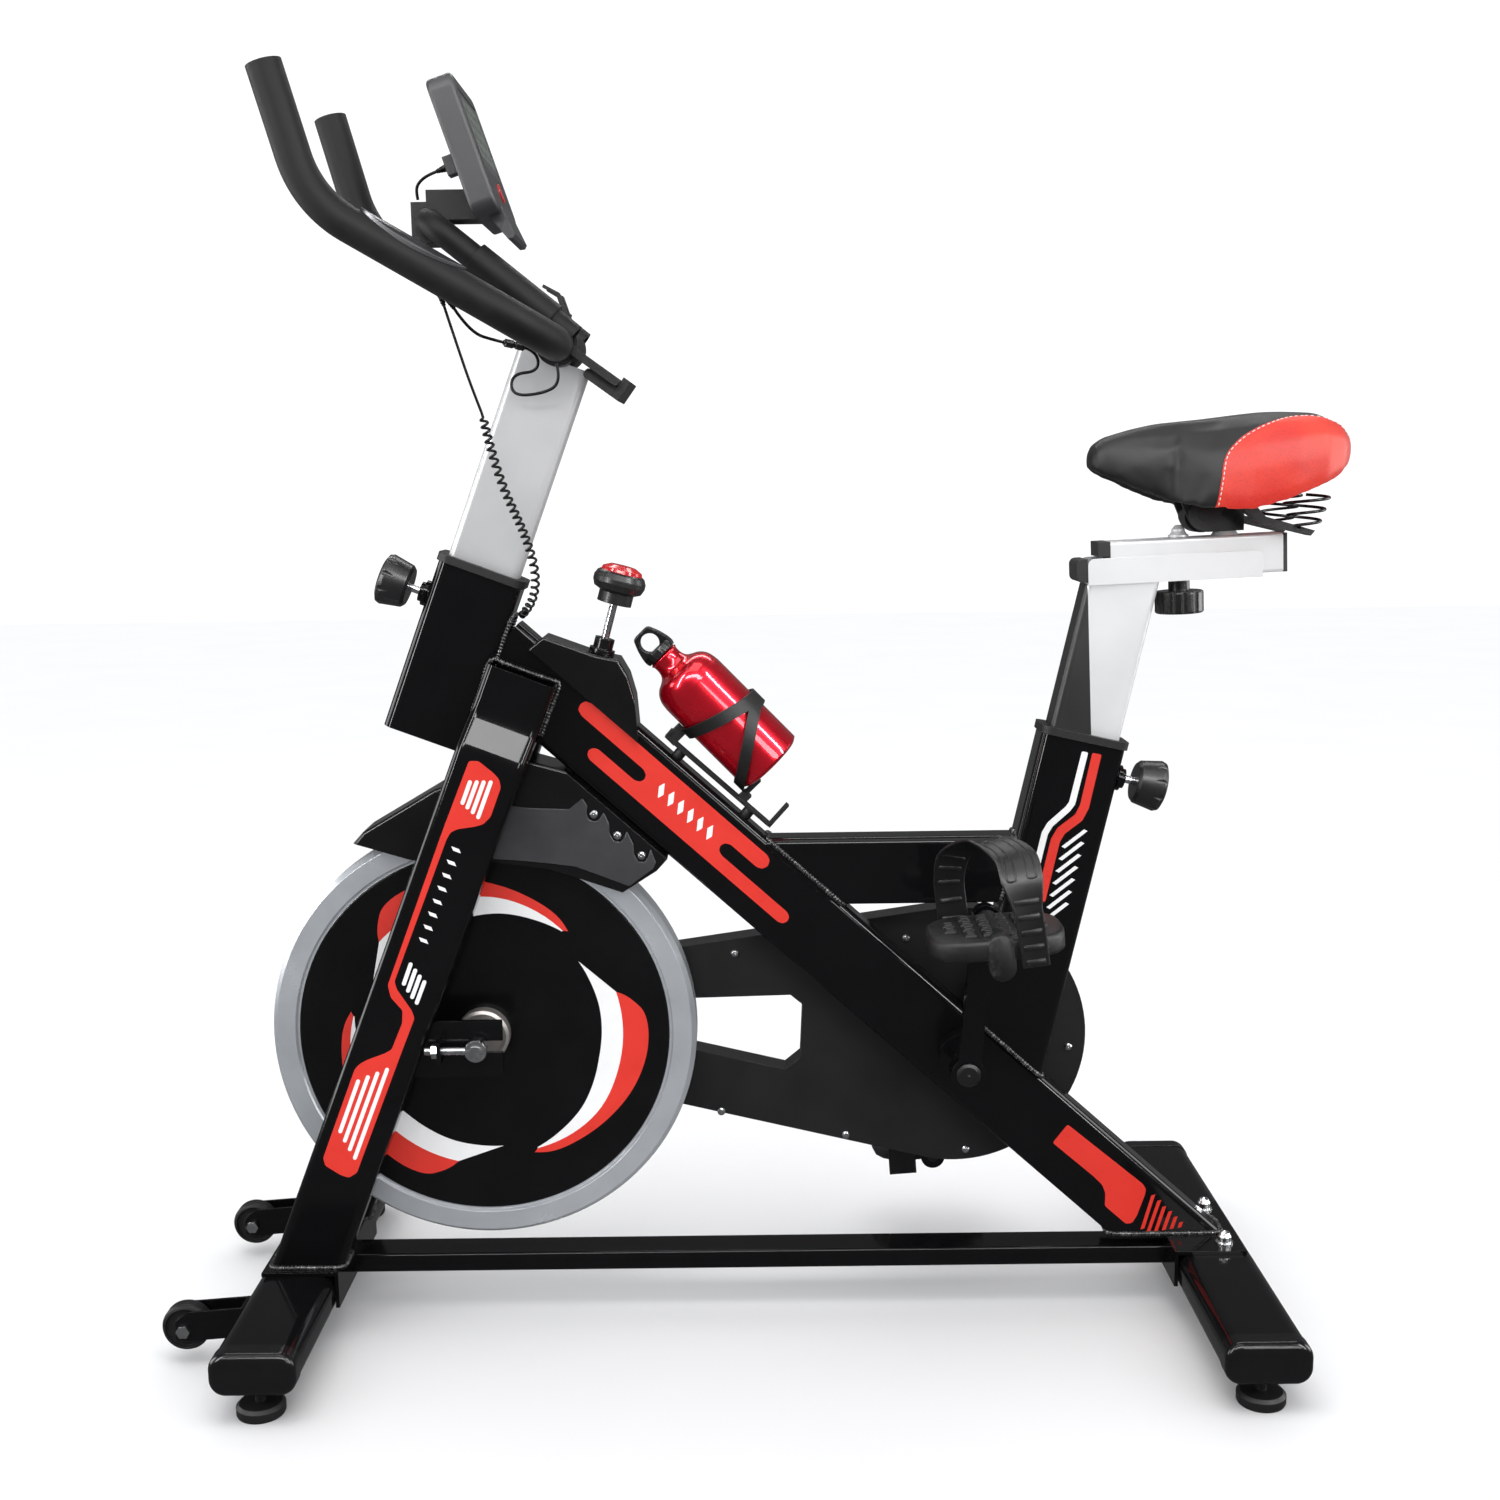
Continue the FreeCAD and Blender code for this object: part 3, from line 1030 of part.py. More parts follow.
def make_bottle():
    filled = [(0, 0), (31, 0), (35, 2), (BOTTLE_R, 6), (BOTTLE_R, 128), (35, 136), (30, 143), (22, 149),
              (16, 152), (14.5, 155), (14.5, 157), (12.5, 157), (12.5, 162), (0, 162)]
    save("bottle", bottle_place(spun(filled)))
    skirt = spun([(12.8, 157.3), (16.5, 157.3), (16.5, 168), (11, 171), (0, 171), (0, 162.3), (12.8, 162.3)])
    loop = cross_rod(0, 182, -6, 6, 16).fuse(box(-9, 9, -6, 6, 164, 176)).cut(cross_rod(0, 182, -10, 10, 9.5))
    save("bottle_cap", bottle_place(skirt.fuse(loop).removeSplitter()))


def cage_band():
    """Two arms that rise from the base strip, over the bottle, and down to its foot."""
    inner_r = BOTTLE_R + 1.2
    sleeve = rod(Vector(0, 0, -20), Vector(0, 0, 130), inner_r + 3.2)
    sleeve = sleeve.cut(rod(Vector(0, 0, -21), Vector(0, 0, 131), inner_r))
    # in the bottle's own frame +X is the side that faces the main tube
    upper = [(60, 96), (60, 84), (-46, 52), (-46, 66)]
    lower = [(-46, 66), (-46, 52), (-34, 50), (60, -12), (60, 1), (-30, 62)]
    stroke = side_prism(upper, -60, 60).fuse(side_prism(lower, -60, 60))
    return sleeve.common(stroke)


def make_cage():
    arms = bottle_place(cage_band())
    strip = main_place(box(-51.5, -48, -8, 8, 6, 142))
    hooks = main_place(box(-78, -48, -6, 6, 3, 6.5)).fuse(main_place(box(-58, -48, -8, 8, 142, 145)))
    pads = [main_place(rod(Vector(-48.2, 0, s), Vector(-MAIN_HIGH / 2, 0, s), 6)) for s in (30, 122)]
    ribs = []
    for reach, z0, z1 in ((57, 84, 96), (50, -9, 0.5)):
        ribs.append(bottle_place(box(BOTTLE_R + 1.5, reach, -7, 7, z0, z1)))
    lip = bottle_place(box(20, BOTTLE_R + 6, -7, 7, -4.5, -0.4))
    keep_off = bottle_place(rod(Vector(0, 0, -0.4), Vector(0, 0, 140), BOTTLE_R + 0.6))
    cage = arms.fuse([strip, hooks] + pads + ribs + [lip]).cut(keep_off).cut(main_bar())
    save("bottle_cage", max(cage.removeSplitter().Solids, key=lambda piece: piece.Volume))


# ---- floor parts ----
def make_transport():
    x, z = TRANSPORT_X, TRANSPORT_Z
    front = FRONT_X + STAB_WIDE / 2
    brackets = []
    for side in (-1, 1):
        name = "left" if side > 0 else "right"
        y = side * TRANSPORT_Y
        half_tread = [(4.08, -9), (12, -9), (13, -6), (TRANSPORT_R - 5, -6), (TRANSPORT_R - 4, -9),
                      (TRANSPORT_R - 1.5, -8), (TRANSPORT_R, -5)]
        tread = half_tread + [(radius, -across) for radius, across in reversed(half_tread)]
        save(name + "_transport_wheel", shifted(turned(tread, x, z), 0, y, 0))
        cheeks = []
        for cheek_y in (-13.5, 11.0):
            outline = [(front, 30), (front, 60), (x - 4, 56), (x + 8, 46), (x + 8, 28), (x - 6, 26)]
            cheek = side_prism(outline, 0, 2.5)
            cheeks.append(shifted(cheek, 0, y + cheek_y, 0))
        base = box(front, front + 2.5, y - 13.5, y + 13.5, 30, 60)
        bracket = base.fuse(cheeks).cut(cross_rod(x, z, y - 30, y + 30, 4.1)).removeSplitter()
        brackets.append(bracket)
    rear_clear = shifted(across(bar(STAB_WIDE, STAB_HIGH, -STAB_HALF, STAB_HALF, 15)), FRONT_X, 0, STAB_Z)
    save("wheel_brackets", *[piece.cut(rear_clear) for piece in brackets])


def make_feet():
    for end, x in (("front", FRONT_X), ("rear", REAR_X)):
        for name, side in (("left", 1), ("right", -1)):
            foot = spun([(0, 0), (FOOT_R - 1, 0), (FOOT_R, 2), (FOOT_R, FOOT_THICK - 3),
                         (FOOT_R - 3, FOOT_THICK), (5, FOOT_THICK + 1), (5, STAB_Z + 12), (0, STAB_Z + 12)])
            save(end + "_" + name + "_foot", shifted(foot, x, side * FOOT_Y, 0))


# ---- cords ----
SENSOR_ROUTE = [
    Vector(276, 104, 1037), Vector(271, 100, 1018), Vector(262, 93, 985), Vector(254, 84, 955),
    Vector(245.5, 75, 928),
]
CURLY_ROUTE = [
    Vector(245.5, 75, 927), Vector(239, 69, 893), Vector(229.5, 60, 856), Vector(215.5, 50, 822),
    Vector(206, 41, 789), Vector(205, 32, 763), Vector(213, 22, 742), Vector(223, 12, 733),
]
PULSE_ROUTE = [
    Vector(268, 107, 1031), Vector(254, 87, 1003), Vector(230, 62, 996), Vector(196, 48, 989),
    Vector(194, 41, 969), Vector(222, 37, 967), Vector(222, 38, 946), Vector(190, 43, 948),
    Vector(173, 47, 958), Vector(177, 48, 976),
]


LEAD_ROUTE = [
    Vector(280.8, 18, 1161.3), Vector(291.4, 18, 1157.8), Vector(302, 17.5, 1153), Vector(309, 15.5, 1146.5),
    Vector(310.5, 12.5, 1140), Vector(309.8, 10, 1133.8),
]


def make_cords():
    save("sensor_cord", cord("sensor_cord", SENSOR_ROUTE, 1.5))
    save("curly_cord", cord("curly_cord", CURLY_ROUTE, 5.0))
    run = PULSE_ROUTE[3].sub(PULSE_ROUTE[2])
    joint = rod(PULSE_ROUTE[2].add(run * 0.12), PULSE_ROUTE[2].add(run * 0.68), 4)
    lead = cord("console lead", LEAD_ROUTE, 1.5)
    save("pulse_cord", cord("pulse_cord", PULSE_ROUTE, 1.5).fuse(joint), lead)


BUILDERS = (
    make_main_tube, make_head_tube, make_fork, make_seat_tube, make_top_tube, make_base_rail, make_collars,
    make_stabilizers, make_end_caps, make_cradles, make_bottom_bracket, make_axle, make_flywheel, make_belt,
    make_belt_cover, make_screws, make_brake_housing, make_fender, make_brake, make_crank, make_pedals,
    make_handlebar_post, make_handlebar, make_sensors, make_console, make_console_bracket, make_tablet_holder,
    make_seat_post, make_slider, make_slider_knob, make_pins, make_saddle, make_saddle_clamp, make_bottle,
    make_cage, make_transport, make_feet, make_cords,
)
for builder in BUILDERS:
    builder()
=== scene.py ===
import math
import random

import bmesh
import bpy
from mathutils import Matrix, Vector
from mathutils.bvhtree import BVHTree


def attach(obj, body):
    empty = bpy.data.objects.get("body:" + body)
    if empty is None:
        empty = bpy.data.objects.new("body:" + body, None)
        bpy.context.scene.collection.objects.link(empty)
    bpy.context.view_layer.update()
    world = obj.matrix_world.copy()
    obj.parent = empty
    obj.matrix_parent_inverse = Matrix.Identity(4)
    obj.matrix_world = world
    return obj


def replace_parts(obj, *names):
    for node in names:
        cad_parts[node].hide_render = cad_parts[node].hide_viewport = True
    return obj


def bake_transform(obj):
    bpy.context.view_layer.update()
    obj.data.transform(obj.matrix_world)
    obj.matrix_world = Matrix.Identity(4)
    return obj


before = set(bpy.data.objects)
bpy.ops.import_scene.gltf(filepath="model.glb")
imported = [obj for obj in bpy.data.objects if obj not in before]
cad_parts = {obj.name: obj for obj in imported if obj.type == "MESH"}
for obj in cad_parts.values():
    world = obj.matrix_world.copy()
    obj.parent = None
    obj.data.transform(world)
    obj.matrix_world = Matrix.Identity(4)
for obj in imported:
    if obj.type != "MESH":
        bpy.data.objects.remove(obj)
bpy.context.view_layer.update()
MM = 0.001
scene = bpy.context.scene
weld_noise = random.Random(7)


# ---- camera: solved from the perspective of the photograph ----
def make_camera():
    data = bpy.data.cameras.new("camera")
    data.sensor_width = 36.0
    data.lens = 41.66
    camera = bpy.data.objects.new("camera", data)
    camera.location = (-0.0097, 1.7429, 0.8706)
    camera.rotation_euler = [math.radians(angle) for angle in (80.9122, 0.7495, -179.8929)]
    scene.collection.objects.link(camera)
    scene.camera = camera


make_camera()


# ---- mesh helpers; every length in them is in millimetres ----
def lean_frame(point, lean):
    """A part's own frame: its Z leans rearward by so many degrees from upright."""
    return Matrix.Translation(Vector(point)) @ Matrix.Rotation(math.radians(-lean), 4, "Y")


def add_piece(name, bm, finish_name, body=None, smooth=True, sharp=40):
    mesh = bpy.data.meshes.new(name)
    bmesh.ops.recalc_face_normals(bm, faces=bm.faces)
    bm.transform(Matrix.Scale(MM, 4))
    bm.to_mesh(mesh)
    bm.free()
    mesh.materials.append(materials[finish_name])
    piece = bpy.data.objects.new(name, mesh)
    scene.collection.objects.link(piece)
    if smooth:
        mesh.polygons.foreach_set("use_smooth", [True] * len(mesh.polygons))
        mesh.set_sharp_from_angle(angle=math.radians(sharp))
    if body:
        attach(piece, body)
    return piece


def parallel_frames(points):
    """A pair of side vectors at each point, carried along the line without twist."""
    tangents = []
    for i in range(len(points)):
        ahead = points[min(i + 1, len(points) - 1)]
        behind = points[max(i - 1, 0)]
        tangents.append((ahead - behind).normalized())
    side = tangents[0].orthogonal().normalized()
    frames = []
    for tangent in tangents:
        side = (side - tangent * side.dot(tangent)).normalized()
        frames.append((side, tangent.cross(side)))
    return frames


def loft(bm, rings, closed=False):
    """Skin rings of points one after another. Unless the last ring joins the first, both ends get a cap."""
    rings = [[bm.verts.new(point) for point in ring] for ring in rings]
    count = len(rings[0])
    pairs = list(zip(rings, rings[1:]))
    if closed:
        pairs.append((rings[-1], rings[0]))
    for low, high in pairs:
        for k in range(count):
            bm.faces.new((low[k], low[(k + 1) % count], high[(k + 1) % count], high[k]))
    return [] if closed else [bm.faces.new(rings[0]), bm.faces.new(rings[-1])]


def circle(count):
    """Cosine and sine at even steps round a full turn."""
    angles = [2 * math.pi * k / count for k in range(count)]
    return [(math.cos(angle), math.sin(angle)) for angle in angles]


def sweep(bm, points, radii, sides=12, closed=False):
    """A tube along points. radii is one number or one for each point."""
    if not isinstance(radii, (list, tuple)):
        radii = [radii] * len(points)
    rings = []
    for point, (u, v), radius in zip(points, parallel_frames(points), radii):
        rings.append([point + (u * cos + v * sin) * radius for cos, sin in circle(sides)])
    loft(bm, rings, closed)


def tube_piece(name, points, radii, sides, finish_name, body=None, sharp=40, closed=False):
    bm = bmesh.new()
    sweep(bm, points, radii, sides, closed)
    return add_piece(name, bm, finish_name, body, sharp=sharp)


def curve_through(points, steps=6, closed=False):
    """Points of a smooth line that passes through every given point."""
    count = len(points)
    result = []
    for i in range(count if closed else count - 1):
        if closed:
            a, b, c, d = (points[(i + k) % count] for k in (-1, 0, 1, 2))
        else:
            a, b, c, d = points[max(i - 1, 0)], points[i], points[i + 1], points[min(i + 2, count - 1)]
        for k in range(steps):
            t = k / steps
            result.append(0.5 * (2 * b + (c - a) * t + (2 * a - 5 * b + 4 * c - d) * t * t
                                 + (3 * b - a - 3 * c + d) * t * t * t))
    if not closed:
        result.append(points[-1])
    return result


def lathe(bm, place, profile, segments, flutes=0, depth=0.0):
    """Spin (radius, height) points about the frame's Z. Flutes press shallow grooves into it."""
    rings = []
    for radius, height in profile:
        ring = []
        for k, (cos, sin) in enumerate(circle(segments)):
            groove = depth * max(0.0, math.cos(2 * math.pi * flutes * k / segments)) ** 2 if flutes else 0.0
            ring.append(place @ Vector(((radius - groove) * cos, (radius - groove) * sin, height)))
        rings.append(ring)
    loft(bm, rings)


def round_corners(outline, radius):
    """Each corner of a flat outline becomes a short arc."""
    result = []
    count = len(outline)
    for i in range(count):
        before, corner, after = (Vector(outline[(i + k) % count]) for k in (-1, 0, 1))
        into, away = before - corner, after - corner
        reach = min(radius, into.length * 0.45, away.length * 0.45)
        start, end = corner + into.normalized() * reach, corner + away.normalized() * reach
        for k in range(5):
            t = k / 4
            result.append(start * (1 - t) ** 2 + corner * 2 * t * (1 - t) + end * t * t)
    return result


def film(bm, outline, place, thick):
    """A thin closed layer with that outline, lying on the frame's XY plane and rising along its Z."""
    caps = loft(bm, [[place @ Vector((x, y, height)) for x, y in outline] for height in (0, thick)])
    for cap in caps:
        cap.normal_update()
    bmesh.ops.triangulate(bm, faces=caps, ngon_method="EAR_CLIP")


def slanted_bar(start, end, width, lean=0.0):
    """Outline of a bar between two points with both ends cut at a slant."""
    start, end = Vector(start), Vector(end)
    along = (end - start).normalized()
    across = Vector((-along.y, along.x)) * width / 2
    skew = along * lean
    return [start - across - skew, end - across - skew, end + across + skew, start + across + skew]


def route_curve(name, points, radius, body=None):
    """A cord as a curve: one smooth spline whose control points are the route's points."""
    data = bpy.data.curves.new(name, "CURVE")
    data.dimensions = "3D"
    data.resolution_u = 16
    spline = data.splines.new("NURBS")
    spline.points.add(len(points) - 1)
    for spot, point in zip(spline.points, points):
        spot.co = (*point, 1.0)
    spline.order_u = 3
    spline.use_endpoint_u = True
    data.bevel_depth = radius
    data.bevel_resolution = 4
    data.use_fill_caps = True
    data.materials.append(materials["cable"])
    curve = bpy.data.objects.new(name, data)
    scene.collection.objects.link(curve)
    if body:
        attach(curve, body)
    return curve


def centreline(points):
    """The route's smooth line, as points in millimetres."""
    curve = route_curve("route", points, 0.0)
    bpy.context.view_layer.update()
    evaluated = curve.evaluated_get(bpy.context.evaluated_depsgraph_get())
    mesh = bpy.data.meshes.new_from_object(evaluated)
    line = [vertex.co / MM for vertex in mesh.vertices]
    bpy.data.meshes.remove(mesh)
    bpy.data.objects.remove(curve)
    return line


def evenly(line, step):
    """The same line with points a fixed step apart."""
    result = [line[0].copy()]
    spare = step
    for start, end in zip(line, line[1:]):
        length = (end - start).length
        while length > 0 and spare <= length:
            result.append(start.lerp(end, spare / length))
            spare += step
        spare -= length
    if (result[-1] - line[-1]).length > step * 0.3:
        result.append(line[-1].copy())
    return result


# ---- materials ----
class Tree:
    """A material's node tree under construction."""

    def __init__(self, name):
        self.material = bpy.data.materials.new(name)
        self.material.use_nodes = True
        self.tree = self.material.node_tree
        self.tree.nodes.clear()

    def add(self, kind, settings=None, **inputs):
        node = self.tree.nodes.new("ShaderNode" + kind)
        for key, value in (settings or {}).items():
            setattr(node, key, value)
        for key, value in inputs.items():
            socket = node.inputs[int(key[1:])] if key[0] == "_" else node.inputs[key.replace("_", " ")]
            if isinstance(value, bpy.types.NodeSocket):
                self.tree.links.new(value, socket)
            else:
                socket.default_value = value
        return node

    def noise(self, place, scale, detail):
        return self.add("TexNoise", None, Vector=place, Scale=scale, Detail=detail).outputs["Fac"]

    def bump(self, strength, distance, height, **normal):
        return self.add("Bump", None, Strength=strength, Distance=distance, Height=height, **normal).outputs[0]

    def vector(self, operation, a, b=(0, 0, 0)):
        """A vector operation. Its result is a number for DOT_PRODUCT and LENGTH."""
        node = self.add("VectorMath", {"operation": operation}, _0=a, _1=b)
        return node.outputs["Value" if operation in ("DOT_PRODUCT", "LENGTH") else 0]

    def done(self, **inputs):
        """The finished material, with one principled shader."""
        shader = self.add("BsdfPrincipled", None, **inputs)
        self.tree.links.new(shader.outputs[0], self.add("OutputMaterial").inputs[0])
        return self.material

    def math(self, operation, a, b=0.0, clamp=False):
        return self.add("Math", {"operation": operation, "use_clamp": clamp}, _0=a, _1=b).outputs[0]

    def mix(self, factor, a, b):
        node = self.add("Mix", {"data_type": "RGBA"}, _0=factor, _6=a, _7=b)
        return node.outputs[2]

    def mix_value(self, factor, a, b):
        return self.add("Mix", {"data_type": "FLOAT"}, _0=factor, _2=a, _3=b).outputs[0]

    def ramp(self, value, low, high, to_low=0.0, to_high=1.0):
        node = self.add("MapRange", {"clamp": True}, Value=value)
        for socket, number in zip(node.inputs[1:5], (low, high, to_low, to_high)):
            socket.default_value = number
        return node.outputs[0]


def shade(colour, factor):
    return tuple(min(1.0, channel * factor) for channel in colour) + (1.0,)


ZONE_BLUR = 0.00005


def beyond_plane(point, direction):
    """Zone past a plane, for parts whose one node has two finishes. The point is in millimetres."""
    def mask(tree, place):
        offset = tree.vector("SUBTRACT", place, Vector(point) * MM)
        return tree.ramp(tree.vector("DOT_PRODUCT", offset, Vector(direction)), -ZONE_BLUR, ZONE_BLUR)
    return mask


def beyond_radius(x, z, radius, inside=False):
    """Zone further than a radius from an axis that lies across the bike."""
    def mask(tree, place):
        parts = tree.add("SeparateXYZ", None, _0=place)
        dx = tree.math("SUBTRACT", parts.outputs[0], x * MM)
        dz = tree.math("SUBTRACT", parts.outputs[2], z * MM)
        square = tree.math("ADD", tree.math("MULTIPLY", dx, dx), tree.math("MULTIPLY", dz, dz))
        distance = tree.math("SQRT", square)
        blur = -ZONE_BLUR if inside else ZONE_BLUR
        return tree.ramp(distance, radius * MM - blur, radius * MM + blur)
    return mask


def finish(name, colour, rough, metal=0.0, coat=0.0, sheen=0.0, mottle=0.12, mottle_scale=22.0, grain="noise",
           grain_scale=900.0, depth=6e-5, edge=0.0006, wear_and_highlight=0.25, worn_and_highlight_colour=None, spread=0.06, zones=(), specular=0.5,
           turned=None):
    """A procedural surface: colour that drifts, uneven gloss, fine grain, and edges painted a little lighter, partly as
    rubbed paint and partly as a painted highlight.
    """
    tree = Tree(name)
    place = tree.add("TexCoord").outputs["Object"]
    broad = tree.noise(place, mottle_scale, 4.0)
    if grain == "cells":
        cells = tree.add("TexVoronoi", {"feature": "DISTANCE_TO_EDGE"}, Vector=place, Scale=grain_scale)
        fine = tree.ramp(cells.outputs[0], 0.0, 0.14)
    else:
        fine = tree.noise(place, grain_scale, 3.0)
    base = tree.mix(tree.ramp(broad, 0.3, 0.7), shade(colour, 1 - mottle), shade(colour, 1 + mottle))
    gloss = tree.ramp(tree.math("ADD", tree.math("MULTIPLY", broad, 0.6), tree.math("MULTIPLY", fine, 0.4)),
                      0.3, 0.7, max(0.02, rough - spread), min(1.0, rough + spread))
    metallic = metal
    for mask, zone_colour, zone_rough, zone_metal in zones:
        factor = mask(tree, place)
        drift = tree.mix(tree.ramp(broad, 0.3, 0.7), shade(zone_colour, 0.93), shade(zone_colour, 1.07))
        base = tree.mix(factor, base, drift)
        gloss = tree.mix_value(factor, gloss, tree.ramp(broad, 0.3, 0.7, zone_rough * 0.85, zone_rough * 1.15))
        metallic = tree.mix_value(factor, metallic, zone_metal)
    rounded = tree.add("Bevel", {"samples": 4}, Radius=edge).outputs[0]
    # edges lightened in the colour: rubbed paint, and also a painted highlight along the edges
    if wear_and_highlight:
        facing = tree.vector("DOT_PRODUCT", rounded, tree.add("NewGeometry").outputs["True Normal"])
        scuffs = tree.noise(place, 160.0, 5.0)
        edge_wear_and_highlight = tree.math("MULTIPLY", tree.ramp(facing, 0.985, 0.86), tree.ramp(scuffs, 0.5, 0.62))
        edge_wear_and_highlight = tree.math("MULTIPLY", edge_wear_and_highlight, wear_and_highlight, clamp=True)
        base = tree.mix(edge_wear_and_highlight, base, (worn_and_highlight_colour or shade([c + 0.08 for c in colour], 1.6)[:3]) + (1.0,))
        gloss = tree.mix_value(edge_wear_and_highlight, gloss, min(1.0, rough + 0.15))
    normal = tree.bump(1.0, depth, fine, Normal=rounded)
    if turned:
        # fine lines left by the lathe, round an axis that lies across the bike
        away = tree.vector("SUBTRACT", place, (turned[0] * MM, 0, turned[1] * MM))
        radius = tree.vector("LENGTH", tree.vector("MULTIPLY", away, (1, 0, 1)))
        lines = tree.noise(tree.add("CombineXYZ", None, _0=radius).outputs[0], 2600.0, 2.0)
        normal = tree.bump(0.5, 0.00003, lines, Normal=normal)
    return tree.done(Base_Color=base, Roughness=gloss, Metallic=metallic, Normal=normal, Coat_Weight=coat,
                     Coat_Roughness=0.04, Sheen_Weight=sheen, Specular_IOR_Level=specular)


BLACK = (0.0045, 0.0045, 0.005)
SOOT = (0.012, 0.012, 0.013)
RED = (0.78, 0.035, 0.022)
STEEL = (0.56, 0.57, 0.58)
SILVER = (0.6, 0.605, 0.61)


def own_z(lean):
    angle = math.radians(lean)
    return (-math.sin(angle), 0.0, math.cos(angle))


def own_x(lean):
    angle = math.radians(lean)
    return (math.cos(angle), 0.0, math.sin(angle))


def beside(point, lean, along_x, along_z):
    """A point given in a leaning part's own X and Z, in the bike's frame."""
    x, z = own_x(lean), own_z(lean)
    return tuple(point[k] + x[k] * along_x + z[k] * along_z for k in range(3))


HEAD_LEAN, HEAD_TOP = 20.7, (259.5, 0, 781.8)
SEAT_LEAN, SEAT_TOP = 13.0, (-340.0, 0, 607.3)
BRAKE_LEAN, KNOB_AT = 15.6, (125.8, 0, 763.9)
RAIL_LEAN, RAIL = -2.3, (-374.6, 0, 757.0)
BOTTLE_LEAN, BOTTLE = -44.0, (-24.8, 0, 577.3)
CONSOLE_LEAN, CONSOLE = -18.5, (236.0, 0, 1112.0)
WHEEL = (275.0, 303.0)

RAIL_AXIS, HEAD_AXIS, SEAT_AXIS = own_x(RAIL_LEAN), own_x(HEAD_LEAN), own_x(SEAT_LEAN)


def backward(direction):
    return [-c for c in direction]


# what several finishes share
PALE_SILVER = (0.75, 0.755, 0.76)
KNOB_RED = (0.62, 0.012, 0.016)
SILVER_COAT = dict(metal=0.25, mottle=0.035, mottle_scale=12.0, grain_scale=2600.0, depth=3e-5, wear_and_highlight=0.2,
                   worn_and_highlight_colour=(0.3, 0.3, 0.3))
KNOB = dict(mottle=0.12, grain_scale=1100.0, wear_and_highlight=0.45, edge=0.0012)
MOULDED = dict(mottle=0.15, grain_scale=60.0, depth=0.0002, wear_and_highlight=0.2, edge=0.0012)
VINYL = dict(specular=0.3, grain_scale=1300.0, depth=2e-5, wear_and_highlight=0.0, edge=0.0001, spread=0.05)
BLACK_PLUG = (SOOT, 0.4, 0.0)
BRIGHT_PIN = ((0.7, 0.7, 0.72), 0.12, 1.0)

